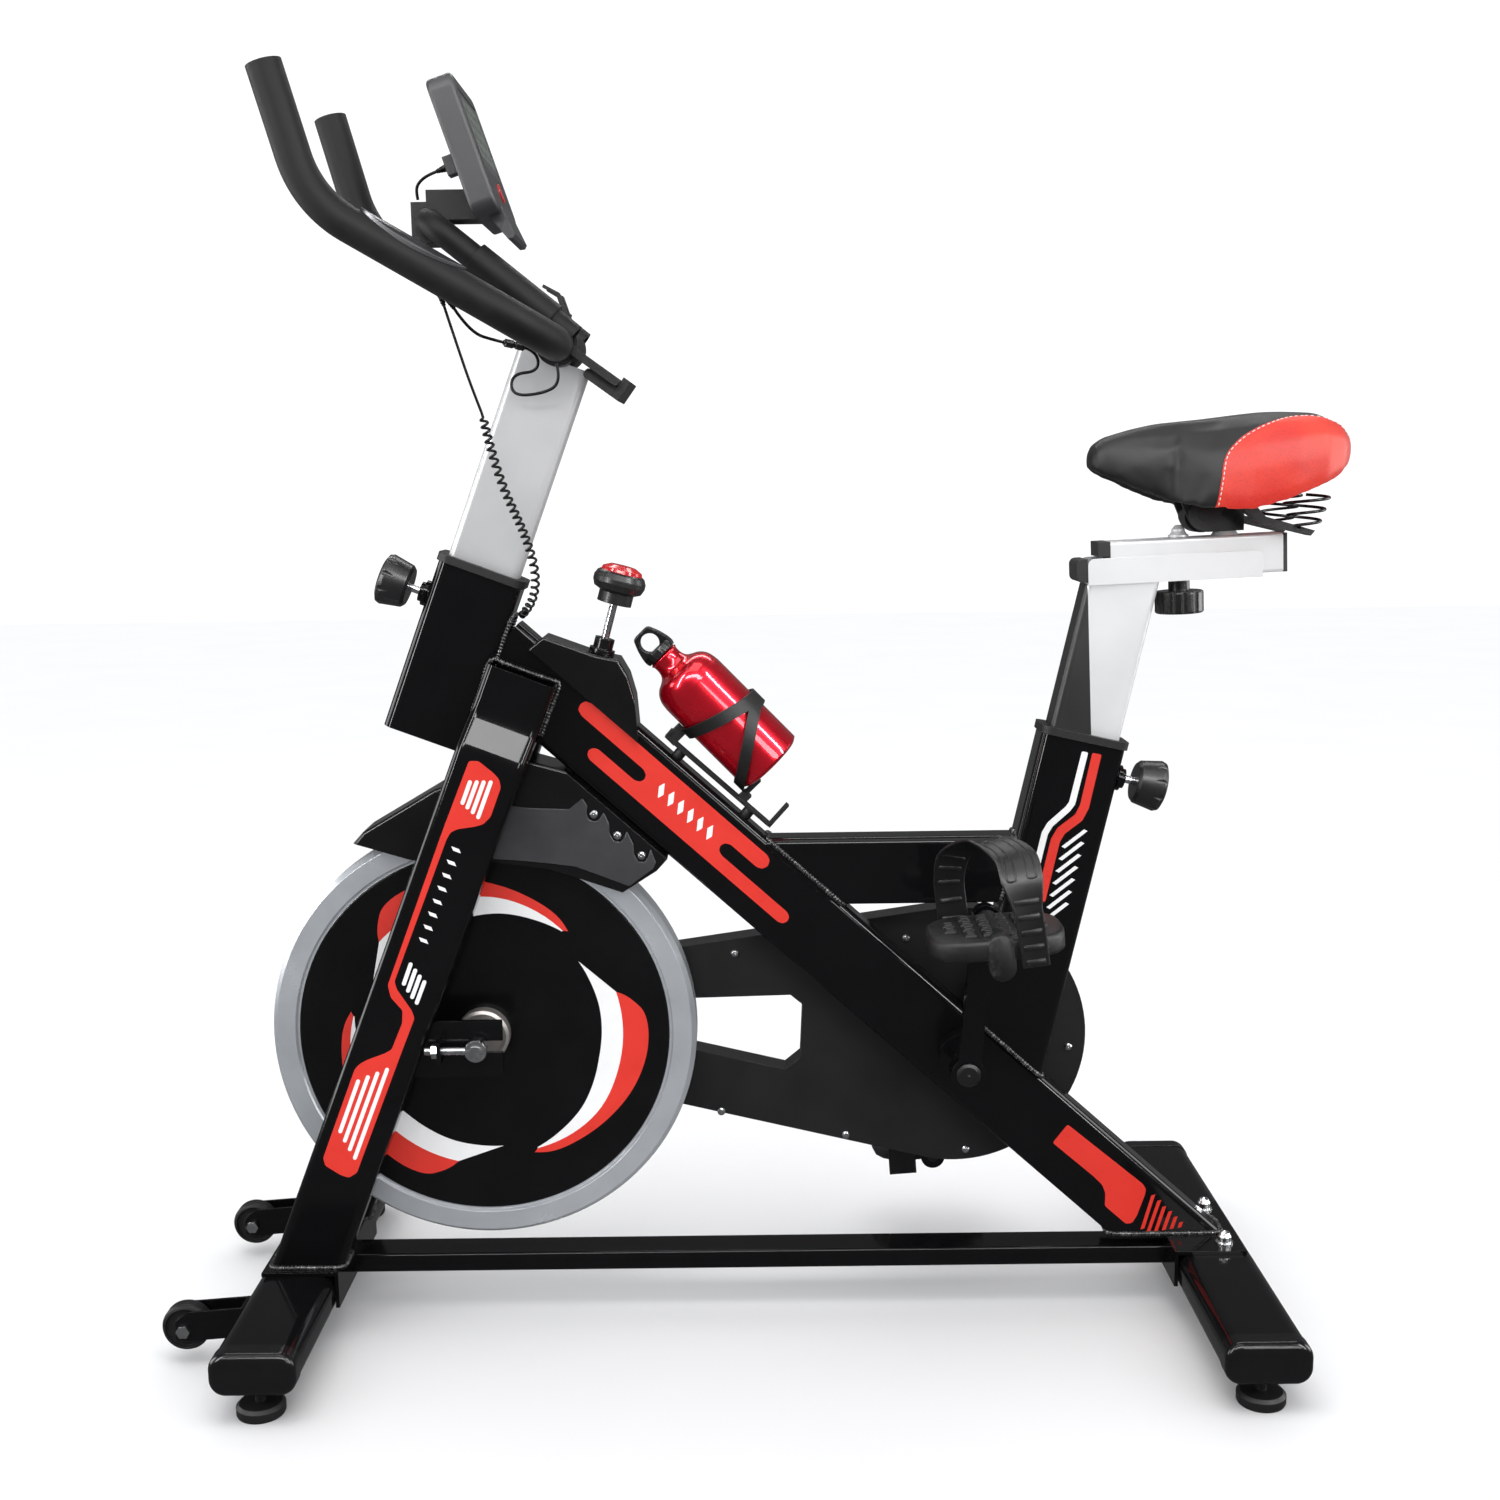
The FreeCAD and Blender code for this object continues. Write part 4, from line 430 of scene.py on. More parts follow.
# colour, roughness, and whatever differs from a plain finish
FINISHES = {
    "gloss_black": (BLACK, 0.1, dict(specular=0.22, mottle=0.1, grain_scale=420.0, depth=2e-5, wear_and_highlight=0.1,
        spread=0.04)),
    "satin_black": (BLACK, 0.3, dict(specular=0.3, mottle=0.15, grain_scale=700.0, wear_and_highlight=0.3)),
    # the grey rubbed onto the bead crests is partly worn paint and partly painted glints of light
    "weld": ((0.03, 0.03, 0.031), 0.28, dict(metal=0.4, mottle=0.6, mottle_scale=300.0, grain_scale=500.0,
        depth=0.0004, wear_and_highlight=0.6, worn_and_highlight_colour=(0.5, 0.5, 0.5), edge=0.0003)),
    "plastic": ((0.008, 0.008, 0.009), 0.4, dict(specular=0.35, grain="cells", grain_scale=1400.0, depth=4e-5,
        wear_and_highlight=0.35, edge=0.0009)),
    "shiny_plastic": ((0.006, 0.006, 0.0065), 0.17, dict(MOULDED, specular=0.35)),
    # lighter grey than the rest of the guard: a painted reflection on the glossy raised panel
    "guard_plastic_painted_reflection": ((0.05, 0.05, 0.053), 0.16, MOULDED),
    "knob_plastic": ((0.008, 0.008, 0.0085), 0.28, dict(KNOB, specular=0.4)),
    "foam": ((0.0055, 0.0055, 0.006), 0.5, dict(specular=0.17, mottle=0.18, mottle_scale=60.0, grain_scale=1900.0,
        depth=0.00018, wear_and_highlight=0.0, sheen=0.06, edge=0.001)),
    "console_shell": ((0.034, 0.034, 0.038), 0.38, dict(mottle=0.1, grain="cells", grain_scale=1500.0, depth=3e-5,
        edge=0.0012)),
    "dark_chrome": ((0.11, 0.11, 0.115), 0.32, dict(metal=1.0, mottle=0.15, depth=2e-5, wear_and_highlight=0.0)),
    "strap_rubber": ((0.0075, 0.0075, 0.008), 0.36, dict(specular=0.4, mottle=0.2, grain_scale=1200.0, depth=1e-4,
        wear_and_highlight=0.3, edge=0.0008)),
    "rubber": ((0.008, 0.008, 0.0085), 0.5, dict(specular=0.3, mottle=0.2, grain_scale=1200.0, depth=0.00012,
        wear_and_highlight=0.3, edge=0.001)),
    "cable": ((0.004, 0.004, 0.0045), 0.33, dict(specular=0.25, mottle=0.15, grain_scale=1500.0, wear_and_highlight=0.0,
        edge=0.0002)),
    "silver_paint": (SILVER, 0.36, SILVER_COAT),
    "zinc": (STEEL, 0.24, dict(metal=1.0, mottle_scale=120.0, wear_and_highlight=0.2, worn_and_highlight_colour=(0.75, 0.75, 0.75), edge=0.0005)),
    "hub_steel": ((0.3, 0.28, 0.265), 0.34, dict(metal=0.5, mottle=0.2, grain_scale=700.0, depth=4e-5, wear_and_highlight=0.3,
        worn_and_highlight_colour=(0.5, 0.49, 0.48), turned=WHEEL)),
    "chrome": ((0.72, 0.72, 0.74), 0.07, dict(metal=1.0, mottle=0.05, grain_scale=400.0, depth=1e-5, wear_and_highlight=0.0,
        spread=0.03)),
    "red_vinyl": (RED, 0.3, dict(VINYL, mottle=0.05)),
    "white_vinyl": ((0.93, 0.93, 0.93), 0.3, dict(VINYL, mottle=0.03)),
    "red_gloss": (KNOB_RED, 0.16, dict(coat=0.3, mottle=0.05, grain_scale=300.0, depth=3e-6, wear_and_highlight=0.0)),
    "bottle_lacquer": ((0.66, 0.001, 0.016), 0.26, dict(metal=0.7, coat=0.8, mottle=0.1, mottle_scale=14.0,
        grain_scale=1500.0, depth=1.5e-5, wear_and_highlight=0.0, spread=0.03)),
    "glass": ((0.01, 0.012, 0.014), 0.05, dict(coat=0.6, mottle=0.1, grain_scale=80.0, depth=1e-5, wear_and_highlight=0.0,
        spread=0.02)),
    "display": ((0.19, 0.23, 0.19), 0.2, dict(mottle=0.06, mottle_scale=60.0, grain_scale=2500.0, depth=1e-5,
        wear_and_highlight=0.0, coat=0.5)),
    "thread": ((0.85, 0.83, 0.8), 0.6, dict(mottle=0.1, grain_scale=2500.0, depth=1e-4, wear_and_highlight=0.0, edge=0.0001,
        sheen=0.2)),
    "flywheel": (BLACK, 0.16, dict(specular=0.25, mottle=0.15, grain_scale=350.0, depth=6e-6, wear_and_highlight=0.1, turned=WHEEL,
        zones=[(beyond_radius(*WHEEL, 191.0), (0.62, 0.645, 0.68), 0.24, 0.55)])),
    "brake_rod": ((0.68, 0.68, 0.7), 0.1, dict(metal=1.0, mottle=0.08, wear_and_highlight=0.0,
        zones=[(beyond_radius(*WHEEL, 234.1, inside=True), (0.05, 0.042, 0.036), 0.9, 0.0)])),
    "seat_post": (PALE_SILVER, 0.36, dict(SILVER_COAT,
        zones=[(beyond_plane(beside(RAIL, RAIL_LEAN, 35.05, 0), RAIL_AXIS), *BLACK_PLUG)])),
    "seat_slider": (PALE_SILVER, 0.34, dict(SILVER_COAT,
        zones=[(beyond_plane(beside(RAIL, RAIL_LEAN, 12.05, 0), RAIL_AXIS), *BLACK_PLUG),
               (beyond_plane(beside(RAIL, RAIL_LEAN, -158.05, 0), backward(RAIL_AXIS)), *BLACK_PLUG)])),
    "head_pin": (SOOT, 0.33, dict(KNOB,
        zones=[(beyond_plane(beside(HEAD_TOP, HEAD_LEAN, 63.9, -46), backward(HEAD_AXIS)), *BRIGHT_PIN)])),
    "seat_pin": (SOOT, 0.33, dict(KNOB,
        zones=[(beyond_plane(beside(SEAT_TOP, SEAT_LEAN, -63.9, -39), SEAT_AXIS), *BRIGHT_PIN)])),
    "brake_knob": (SOOT, 0.34, dict(KNOB, depth=1e-5, wear_and_highlight=0.3,
        zones=[(beyond_plane(beside(KNOB_AT, BRAKE_LEAN, 0, 9.6), own_z(BRAKE_LEAN)), KNOB_RED, 0.15, 0.0)])),
    "floor": ((0.88, 0.88, 0.885), 0.9, dict(specular=0.0, mottle=0.01, mottle_scale=3.0, grain_scale=160.0,
        depth=2e-5, wear_and_highlight=0.0)),
}
materials = {name: finish(name, colour, rough, **rest) for name, (colour, rough, rest) in FINISHES.items()}

# which finish each CAD node takes
NODE_FINISH = {
    "gloss_black":
        "main_diagonal_tube head_tube fork_legs seat_tube top_tube base_rail stabilizer_tubes "
        "stabilizer_cradles bottom_bracket axle_brackets wheel_brackets left_crank_arm right_crank_arm",
    "satin_black": "saddle_clamp",
    "plastic":
        "sleeve_collars belt_cover_inner belt_cover_outer bottle_cage console_bracket "
        "tablet_holder saddle_pan drive_pulley left_pedal right_pedal",
    "shiny_plastic": "flywheel_fender brake_housing stabilizer_end_caps", "console_shell": "console",
    "dark_chrome": "pulse_sensors", "knob_plastic": "slider_knob bottle_cap crank_spindles",
    "foam": "handlebar loop_grips",
    "rubber":
        "drive_belt front_left_foot front_right_foot "
        "rear_left_foot rear_right_foot left_transport_wheel right_transport_wheel",
    "cable": "sensor_cord curly_cord pulse_cord", "silver_paint": "handlebar_post",
    "zinc": "frame_bolts flywheel_axle pan_head_screws", "hub_steel": "flywheel_hub", "chrome": "saddle_springs",
    "red_gloss": "console_button", "bottle_lacquer": "bottle", "flywheel": "flywheel_disc", "brake_rod": "brake_rod",
    "seat_post": "seat_post", "seat_slider": "seat_slider", "head_pin": "handlebar_pin_knob",
    "seat_pin": "seat_pin_knob", "brake_knob": "brake_knob", "leather": "saddle_pad",
}


# ---- saddle leather: black, with a red panel round each side of the tail ----
SEAM_POINTS = [(-445, 800), (-451, 824), (-454, 852), (-458, 879), (-468, 893), (-484.5, 905), (-503, 912.5),
               (-521, 916.5), (-545, 916.5), (-565, 910), (-580, 897), (-592, 880)]


def seam_height(tree, x):
    """The seam's height above the floor at a place along the saddle, both in metres."""
    low, high = -0.60, -0.44
    curve = tree.add("FloatCurve")
    points = curve.mapping.curves[0].points
    spots = sorted(((x_mm * MM - low) / (high - low), (z_mm * MM - 0.78) / 0.15) for x_mm, z_mm in SEAM_POINTS)
    while len(points) < len(spots):
        points.new(0.5, 0.5)
    for point, spot in zip(points, spots):
        point.location = spot
    curve.mapping.update()
    tree.tree.links.new(tree.ramp(x, low, high), curve.inputs["Value"])
    return tree.math("ADD", tree.math("MULTIPLY", curve.outputs[0], 0.15), 0.78)


def leather_material():
    tree = Tree("leather")
    place = tree.add("TexCoord").outputs["Object"]
    parts = tree.add("SeparateXYZ", None, _0=place)
    below = tree.math("SUBTRACT", seam_height(tree, parts.outputs[0]), parts.outputs[2])
    red = tree.math("MULTIPLY", tree.ramp(below, -0.0003, 0.0003), tree.ramp(parts.outputs[0], -0.4435, -0.4445))
    broad, pores = tree.noise(place, 26.0, 4.0), tree.noise(place, 2400.0, 2.0)
    cells = tree.add("TexVoronoi", {"feature": "DISTANCE_TO_EDGE"}, Vector=place, Scale=620.0)
    pebble = tree.ramp(cells.outputs[0], 0.0, 0.12)
    spread = tree.ramp(broad, 0.3, 0.7)
    black = tree.mix(spread, (0.0065, 0.0065, 0.007, 1), (0.012, 0.0115, 0.0115, 1))
    scarlet = tree.mix(spread, (0.74, 0.02, 0.01, 1), (0.9, 0.042, 0.014, 1))
    base = tree.mix(red, black, scarlet)
    base = tree.mix(tree.ramp(pebble, 0.0, 1.0, 0.25, 0.0), base, (0.004, 0.002, 0.002, 1))
    gloss = tree.ramp(tree.math("ADD", broad, tree.math("MULTIPLY", pores, 0.4)), 0.4, 0.95, 0.4, 0.56)
    normal = tree.bump(0.4, 0.00003, pores, Normal=tree.bump(0.5, 0.00008, pebble))
    return tree.done(Base_Color=base, Roughness=gloss, Normal=normal, Specular_IOR_Level=0.36)


materials["leather"] = leather_material()
for finish_name, node_names in NODE_FINISH.items():
    for node_name in node_names.split():
        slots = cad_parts[node_name].data.materials
        for index in range(len(slots)):
            slots[index] = materials[finish_name]


# ---- cords ----
def metres(route):
    return [Vector(point) * MM for point in route]


SENSOR_ROUTE = [(276, 104, 1037), (271, 100, 1018), (262, 93, 985), (254, 84, 955), (245.5, 75, 928)]
CURLY_ROUTE = [(245.5, 75, 927), (239, 69, 893), (229.5, 60, 856), (215.5, 50, 822), (206, 41, 789),
               (205, 32, 763), (213, 22, 742), (223, 12, 733)]
PULSE_ROUTE = [(268, 107, 1031), (254, 87, 1003), (230, 62, 996), (196, 48, 989), (194, 41, 969),
               (222, 37, 967), (222, 38, 946), (190, 43, 948), (173, 47, 958), (177, 48, 976)]
LEAD_ROUTE = [(280.8, 18, 1161.3), (291.4, 18, 1157.8), (302, 17.5, 1153), (309, 15.5, 1146.5),
              (310.5, 12.5, 1140), (309.8, 10, 1133.8)]


SENSOR_WIRE, THIN_WIRE = 1.35, 1.5
COIL_RADIUS, COIL_TURNS = 3.4, 29
COIL_STEP, COIL_FADE_IN, COIL_FADE_OUT = 0.5, 6.0, 4.0


def coil(line, radius, turns):
    """A helix round a line. It starts and ends on the line itself."""
    line = evenly(line, COIL_STEP)
    total = len(line) - 1
    result = []
    for i, (point, (u, v)) in enumerate(zip(line, parallel_frames(line))):
        part = i / total
        swell = min(1.0, part * total * COIL_STEP / COIL_FADE_IN, (1 - part) * total * COIL_STEP / COIL_FADE_OUT)
        swell = swell * swell * (3 - 2 * swell)
        # the coil is pulled a little wider apart near both its ends
        angle = 2 * math.pi * turns * (part + 0.008 * math.sin(4 * math.pi * part))
        result.append(point + (u * math.cos(angle) + v * math.sin(angle)) * radius * swell)
    return result


def make_curly_cord():
    straight = evenly(centreline(metres(SENSOR_ROUTE)), 2.0)
    line = straight[:-1] + coil(centreline(metres(CURLY_ROUTE)), COIL_RADIUS, COIL_TURNS)[1:]
    lead = tube_piece("sensor_lead", line, SENSOR_WIRE, 10, "cable")
    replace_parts(lead, "sensor_cord", "curly_cord")
    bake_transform(lead)


def make_thin_cords():
    pulse = route_curve("pulse_lead", metres(PULSE_ROUTE), THIN_WIRE * MM, "handlebar_post")
    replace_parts(pulse, "pulse_cord")
    line = centreline(metres(PULSE_ROUTE))
    start, end = Vector(PULSE_ROUTE[2]), Vector(PULSE_ROUTE[3])
    first = min(range(len(line)), key=lambda i: (line[i] - start.lerp(end, 0.14)).length)
    last = min(range(len(line)), key=lambda i: (line[i] - start.lerp(end, 0.70)).length)
    stretch = evenly(line[first:last + 1], 0.6)
    radii = []
    for i in range(len(stretch)):
        part = i / (len(stretch) - 1)
        radii.append(4.0 - (0.9 if 0.44 < part < 0.56 else 0.0) - 1.6 * (part < 0.06 or part > 0.94))
    joint = tube_piece("pulse_lead_joint", stretch, radii, 20, "knob_plastic", "handlebar_post", sharp=50)
    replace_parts(joint, "pulse_cord")
    lead = route_curve("console_lead", metres(LEAD_ROUTE), THIN_WIRE * MM, "handlebar_post")
    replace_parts(lead, "pulse_cord")


def strain_relief(name, route, long, wide, narrow, body):
    """A ribbed sleeve that tapers from the housing onto the cord."""
    line = evenly(centreline(metres(route)), 0.5)
    stretch = line[:int(long / 0.5) + 1]
    radii = []
    for i in range(len(stretch)):
        part = i / (len(stretch) - 1)
        rib = 0.25 * math.cos(2 * math.pi * part * 4) if part > 0.2 else 0.0
        radii.append(wide + (narrow - wide) * part + rib)
    tube_piece(name, stretch, radii, 20, "cable", body)


make_curly_cord()
make_thin_cords()
strain_relief("sensor_lead_relief", SENSOR_ROUTE, 12, 3.4, 1.9, "handlebar_post")
strain_relief("pulse_lead_relief", PULSE_ROUTE, 10, 3.2, 1.9, "handlebar_post")
strain_relief("console_lead_relief", LEAD_ROUTE, 9, 3.6, 1.9, "handlebar_post")
strain_relief("curly_cord_relief", CURLY_ROUTE[::-1], 9, 4.2, 2.2, "frame")


# ---- graphics: thin vinyl on the painted tubes, the same on both sides ----
VINYL_THICK = 0.25
WHITE_LIFT = (0, 0.2, 0)


def both_sides(name, outlines, place, finish_name, body="frame", mirrored_too=True):
    """Lay outlines on the left face, and their mirror image on the right."""
    for side in ("left", "right") if mirrored_too else ("left",):
        bm = bmesh.new()
        for outline in outlines:
            film(bm, outline, place, VINYL_THICK)
        if side == "right":
            bm.transform(Matrix.Scale(-1, 4, (0, 1, 0)))
        add_piece(name + "_" + side, bm, finish_name, body, smooth=False)


def face_frame(origin, s_degrees, y, flip=1):
    """A frame whose X runs along a tube and whose Z looks out to the rider's left."""
    angle = math.radians(s_degrees)
    along = Vector((math.cos(angle), 0, math.sin(angle)))
    out = Vector((0, 1, 0))
    across = out.cross(along) * flip
    matrix = Matrix((along, across, out)).transposed().to_4x4()
    matrix.translation = Vector((origin[0], y, origin[1]))
    return matrix


def capsule(start, end, width):
    """Outline of a bar with round ends."""
    start, end = Vector(start), Vector(end)
    along = (end - start).normalized()
    across = Vector((-along.y, along.x))
    result = []
    for centre, turn in ((start, 90), (end, -90)):
        for k in range(9):
            angle = math.radians(turn + 180 * k / 8)
            result.append(centre + (along * math.cos(angle) + across * math.sin(angle)) * width / 2)
    return result


def ribbon(points, width):
    """Outline of a line of constant width that bends at its points."""
    points = [Vector(point) for point in points]
    left, right = [], []
    for i, point in enumerate(points):
        into = (point - points[i - 1]).normalized() if i else (points[1] - point).normalized()
        away = (points[i + 1] - point).normalized() if i + 1 < len(points) else into
        along = (into + away).normalized()
        across = Vector((-along.y, along.x)) * (width / 2 / max(0.5, along.dot(into)))
        left.append(point + across)
        right.append(point - across)
    return round_corners(left + right[::-1], 1.6)


def lifted(place):
    return Matrix.Translation(WHITE_LIFT) @ place


def main_tube_graphics():
    # on this face +Y of the frame is the tube's upper side
    place = face_frame((8.2, 474.4), 42.2, 20.0, flip=-1)
    stripe = [(222, 27.5), (229, 25), (231, 19.3), (229, 13.5), (222, 11), (140, 11), (134.5, 8.5), (132.6, 3.75),
              (134.5, -1), (140, -3.5), (187, -3.5), (192, -5.5), (194.5, -10.5), (192, -15.5), (187, -17.5),
              (-66, -17.5), (-71, -15.5), (-73.2, -10.5), (-71, -5.5), (-66, -3.5), (23, -3.5), (28.4, -1),
              (30.4, 3.75), (28.4, 8.5), (23, 11), (-12, 11), (-17.5, 13.5), (-19.8, 19.2), (-17.5, 25), (-12, 27.5)]
    tail = [(-436, 20), (-438, -5), (-495, -3.7), (-508.5, -4.5), (-517.3, -9), (-526.4, -19.6), (-557, -19.5),
            (-561, -14), (-559, -5), (-549.6, 17), (-545.9, 22.6), (-539.8, 24.4)]
    tops = [(-556.2, 22.8), (-565.1, 22.6), (-573.6, 21.2), (-582, 21.5), (-590.5, 20.9), (-598.9, 20.3)]
    feet = [(-573.6, -12.1), (-580.2, -9.8), (-586, -4.7), (-591.2, 1.7), (-596.4, 8.1), (-601.7, 14.7)]
    red = [round_corners(stripe, 2.0), round_corners(tail, 2.5)]
    red += [slanted_bar(top, foot, 3.6, 1.0) for top, foot in zip(tops, feet)]
    both_sides("main_tube_red", red, place, "red_vinyl")
    bars = [slanted_bar((116 - 13 * k, 11.5), (109 - 13 * k, 1.5), 5.5, 2.0) for k in range(6)]
    both_sides("main_tube_white", [round_corners(bar, 1.0) for bar in bars], lifted(place), "white_vinyl")


def seat_tube_graphics():
    place = face_frame((-340, 607.3), 103.0, 25.0, flip=-1)
    white = ribbon([(-17.5, 2.6), (-71, 2.5), (-78, -0.5), (-97, -14), (-107, -17), (-172, -17)], 6.5)
    red = ribbon([(-16.8, 14.7), (-72, 15.5), (-84, 12.5), (-101, -1.5), (-112, -4.8), (-176, -4.5)], 9.5)
    bars = [slanted_bar((-95.1 - 12.9 * k, 22.7), (-117.2 - 12.9 * k, 4.7), 3.6, 0.8) for k in range(7)]
    both_sides("seat_tube_red", [red], place, "red_vinyl")
    both_sides("seat_tube_white", [white] + bars, place, "white_vinyl")


def fork_graphics():
    place = face_frame((326, 406.3), 111.4, 78.0, flip=-1)
    panel = [(198, -17.8), (201, -9), (195, 8.6), (191, 15.8), (184, 20), (153, 20.3), (143.5, 16), (138, 8.5),
             (130, -6), (124.5, -11.3), (116, -12.7), (-38, -14), (-45, -9), (-60, 11.5), (-67, 17), (-110, 16.2),
             (-241, 15), (-248.8, 9), (-249, 0), (-245, -17.4), (-238, -22), (-138, -22), (-131, -19),
             (-124.4, -13.5), (-112, 0.7), (-105.7, 6), (-76, 7), (-63.4, 3.2), (-55, -12), (-44, -19),
             (126, -19.2)]
    both_sides("fork_red", [round_corners(panel, 2.5)], place, "red_vinyl")
    groups = (
        ([(178.4, -10), (180.7, -3.8), (183, 2.6), (185.4, 9)], [(156.6, -10), (154, -4), (151.4, 2.4), (148.5, 9)]),
        ([(-15.6, -4.7), (-20, 1.6), (-24.2, 7.8), (-28, 14)],
         [(-36.7, -4.5), (-42, 1.7), (-46.8, 7.7), (-50.7, 13.8)]),
        ([(-148.8, -14.7), (-141.2, -7), (-134.3, 0.7), (-127, 8.5)],
         [(-205, -14.7), (-212.7, -7.3), (-219.6, 0.3), (-226.5, 8)]),
    )
    bars = [capsule(top, foot, 4.0) for tops, feet in groups for top, foot in zip(tops, feet)]
    bars += [slanted_bar((110 - 14 * k, -4.5), (110 - 14 * k, 3.5), 3.4, 1.5) for k in range(8)]
    both_sides("fork_white", bars, lifted(place), "white_vinyl")


def polar(points, turn):
    """Smooth line through (radius, angle) points, turned about the wheel's axis."""
    knots = [Vector(point) for point in points]
    result = []
    for spot in curve_through(knots, 5):
        angle = math.radians(spot.y + turn)
        result.append((-spot.x * math.cos(angle), spot.x * math.sin(angle)))
    return result


def flywheel_graphics():
    inner = [(124, 37), (122.5, 24), (122, 12), (121, -1), (121, -14), (124, -27), (128, -40), (131, -54), (135, -68)]
    middle = [(143, 17), (143, 1), (143, -17), (144, -35), (141, -51), (136, -68)]
    outer = [(143, 17), (151, 14.5), (159, 11), (166, 7), (169, 1), (169, -7), (167, -15), (163, -25), (158, -35),
             (152, -48), (146, -62), (139, -70)]
    place = Matrix((Vector((1, 0, 0)), Vector((0, 0, 1)), Vector((0, 1, 0)))).transposed().to_4x4()
    place.translation = Vector((WHEEL[0], 19.0, WHEEL[1]))
    white, red = [], []
    for turn in (0, 120, 240):
        white.append(polar(inner, turn) + polar(middle, turn)[::-1])
        red.append(polar(outer, turn) + polar(middle, turn)[::-1])
    both_sides("flywheel_white", white, place, "white_vinyl", "flywheel", mirrored_too=False)
    both_sides("flywheel_red", red, place, "red_vinyl", "flywheel", mirrored_too=False)


main_tube_graphics()
seat_tube_graphics()
fork_graphics()
flywheel_graphics()


# ---- weld beads ----
def cut_ring(place, wide_x, wide_y, radius, plane_point, plane_normal, step=2.0):
    """Where a tube with rounded corners meets a plane, as a closed line."""
    outline = []
    for sx, sy, turn in ((1, 1, 0), (-1, 1, 90), (-1, -1, 180), (1, -1, 270)):
        for k in range(7):
            angle = math.radians(turn + 15 * k)
            outline.append(Vector((sx * (wide_x / 2 - radius) + radius * math.cos(angle),
                                   sy * (wide_y / 2 - radius) + radius * math.sin(angle), 0)))
    outline.append(outline[0])
    along = place.to_3x3() @ Vector((0, 0, 1))
    normal = Vector(plane_normal).normalized()
    result = []
    for spot in evenly(outline, step)[:-1]:
        start = place @ spot
        reach = (Vector(plane_point) - start).dot(normal) / along.dot(normal)
        result.append(start + along * reach)
    return result


BEAD_STEP, BEAD_RIPPLE = 0.8, 3.4


def bead(name, line, radius, closed=True):
    """A weld bead: overlapping ripples along the joint, uneven like hand work."""
    line = evenly(line + ([line[0]] if closed else []), BEAD_STEP)
    if closed:
        line = line[:-1]
    radii, moved = [], []
    for i, point in enumerate(line):
        ripple = 0.5 + 0.5 * math.cos(2 * math.pi * i * BEAD_STEP / BEAD_RIPPLE)
        radii.append(radius * (0.78 + 0.3 * ripple + weld_noise.uniform(-0.06, 0.06)))
        moved.append(point + Vector([weld_noise.uniform(-0.12, 0.12) for _ in range(3)]))
    tube_piece(name, moved, radii, 8, "weld", "frame", sharp=80, closed=closed)


MAIN_PLACE = lean_frame((8.2, 0, 474.4), 42.2 - 90)
MAIN_UP = (-0.6717, 0, 0.7408)
MAIN_TOP = (8.2 - 0.6717 * 40, 0, 474.4 + 0.7408 * 40)
FORK_X_AXIS = Vector(own_x(21.4))
FORK_Z_AXIS = Vector(own_z(21.4))


def make_beads():
    top_tube = lean_frame((-180, 0, 468), 90)
    bead("weld_top_tube_front", cut_ring(top_tube, 71, 41, 8, MAIN_TOP, MAIN_UP), 2.6)
    seat_tube = lean_frame(SEAT_TOP, SEAT_LEAN)
    bead("weld_seat_tube_foot", cut_ring(seat_tube, 86.5, 50, 10, MAIN_TOP, MAIN_UP), 2.6)
    face = beside(SEAT_TOP, SEAT_LEAN, 43, 0)
    bead("weld_top_tube_rear", cut_ring(top_tube, 71, 41, 8, face, own_x(SEAT_LEAN)), 2.4)
    bead("weld_main_tube_foot", cut_ring(MAIN_PLACE, 81, 41, 8, (0, 0, 75), (0, 0, 1)), 2.8)
    for side, name in ((1, "left"), (-1, "right")):
        leg = lean_frame((326, side * 58, 406.3), 21.4)
        bead("weld_fork_foot_" + name, cut_ring(leg, 71, 41, 8, (0, 0, 75), (0, 0, 1)), 2.6)
        line = []
        for s, x, y in ((236, 36, 26.5), (262, 36, 26.5), (290, 36, 26.5), (292, 20, 26.5), (292, -6, 26.5),
                        (292, -26, 22), (290, -36, 21.5), (262, -36, 21.5), (236, -36, 21.5)):
            line.append(Vector((326, side * y, 406.3)) + FORK_X_AXIS * x + FORK_Z_AXIS * s)
        bead("weld_fork_head_" + name, curve_through(line, 4), 2.6, closed=False)
    # the main tube runs into the head sleeve's rear face
    head_face = beside(HEAD_TOP, HEAD_LEAN, -43, 0)
    bead("weld_head_tube", cut_ring(MAIN_PLACE, 81, 41, 8, head_face, own_x(HEAD_LEAN)), 2.6)


make_beads()


# ---- saddle ----
SWELL_FRAMES = 20
SWELL_LIMIT = 0.005
PAD_CENTRE = Vector((-0.47, 0, 0.875))
PAD_START_SCALE = 0.985


def inflate(piece):
    """Swell the pad like stuffed leather, but hold every point near where it started."""
    cloth = piece.modifiers.new("cloth", "CLOTH")
    for key, value in dict(quality=5, mass=0.3, tension_stiffness=30, compression_stiffness=30, bending_stiffness=8,
                           use_pressure=True, uniform_pressure_force=4.0).items():
        setattr(cloth.settings, key, value)
    cloth.settings.effector_weights.gravity = 0.0
    cloth.point_cache.frame_start = 1
    cloth.point_cache.frame_end = SWELL_FRAMES
    for number in range(1, SWELL_FRAMES + 1):
        scene.frame_set(number)
    evaluated = piece.evaluated_get(bpy.context.evaluated_depsgraph_get())
    swollen = [vertex.co.copy() for vertex in evaluated.data.vertices]
    piece.modifiers.remove(cloth)
    scene.frame_set(1)
    for vertex, target in zip(piece.data.vertices, swollen):
        move = target - vertex.co
        if move.length > SWELL_LIMIT:
            move *= SWELL_LIMIT / move.length
        vertex.co += move


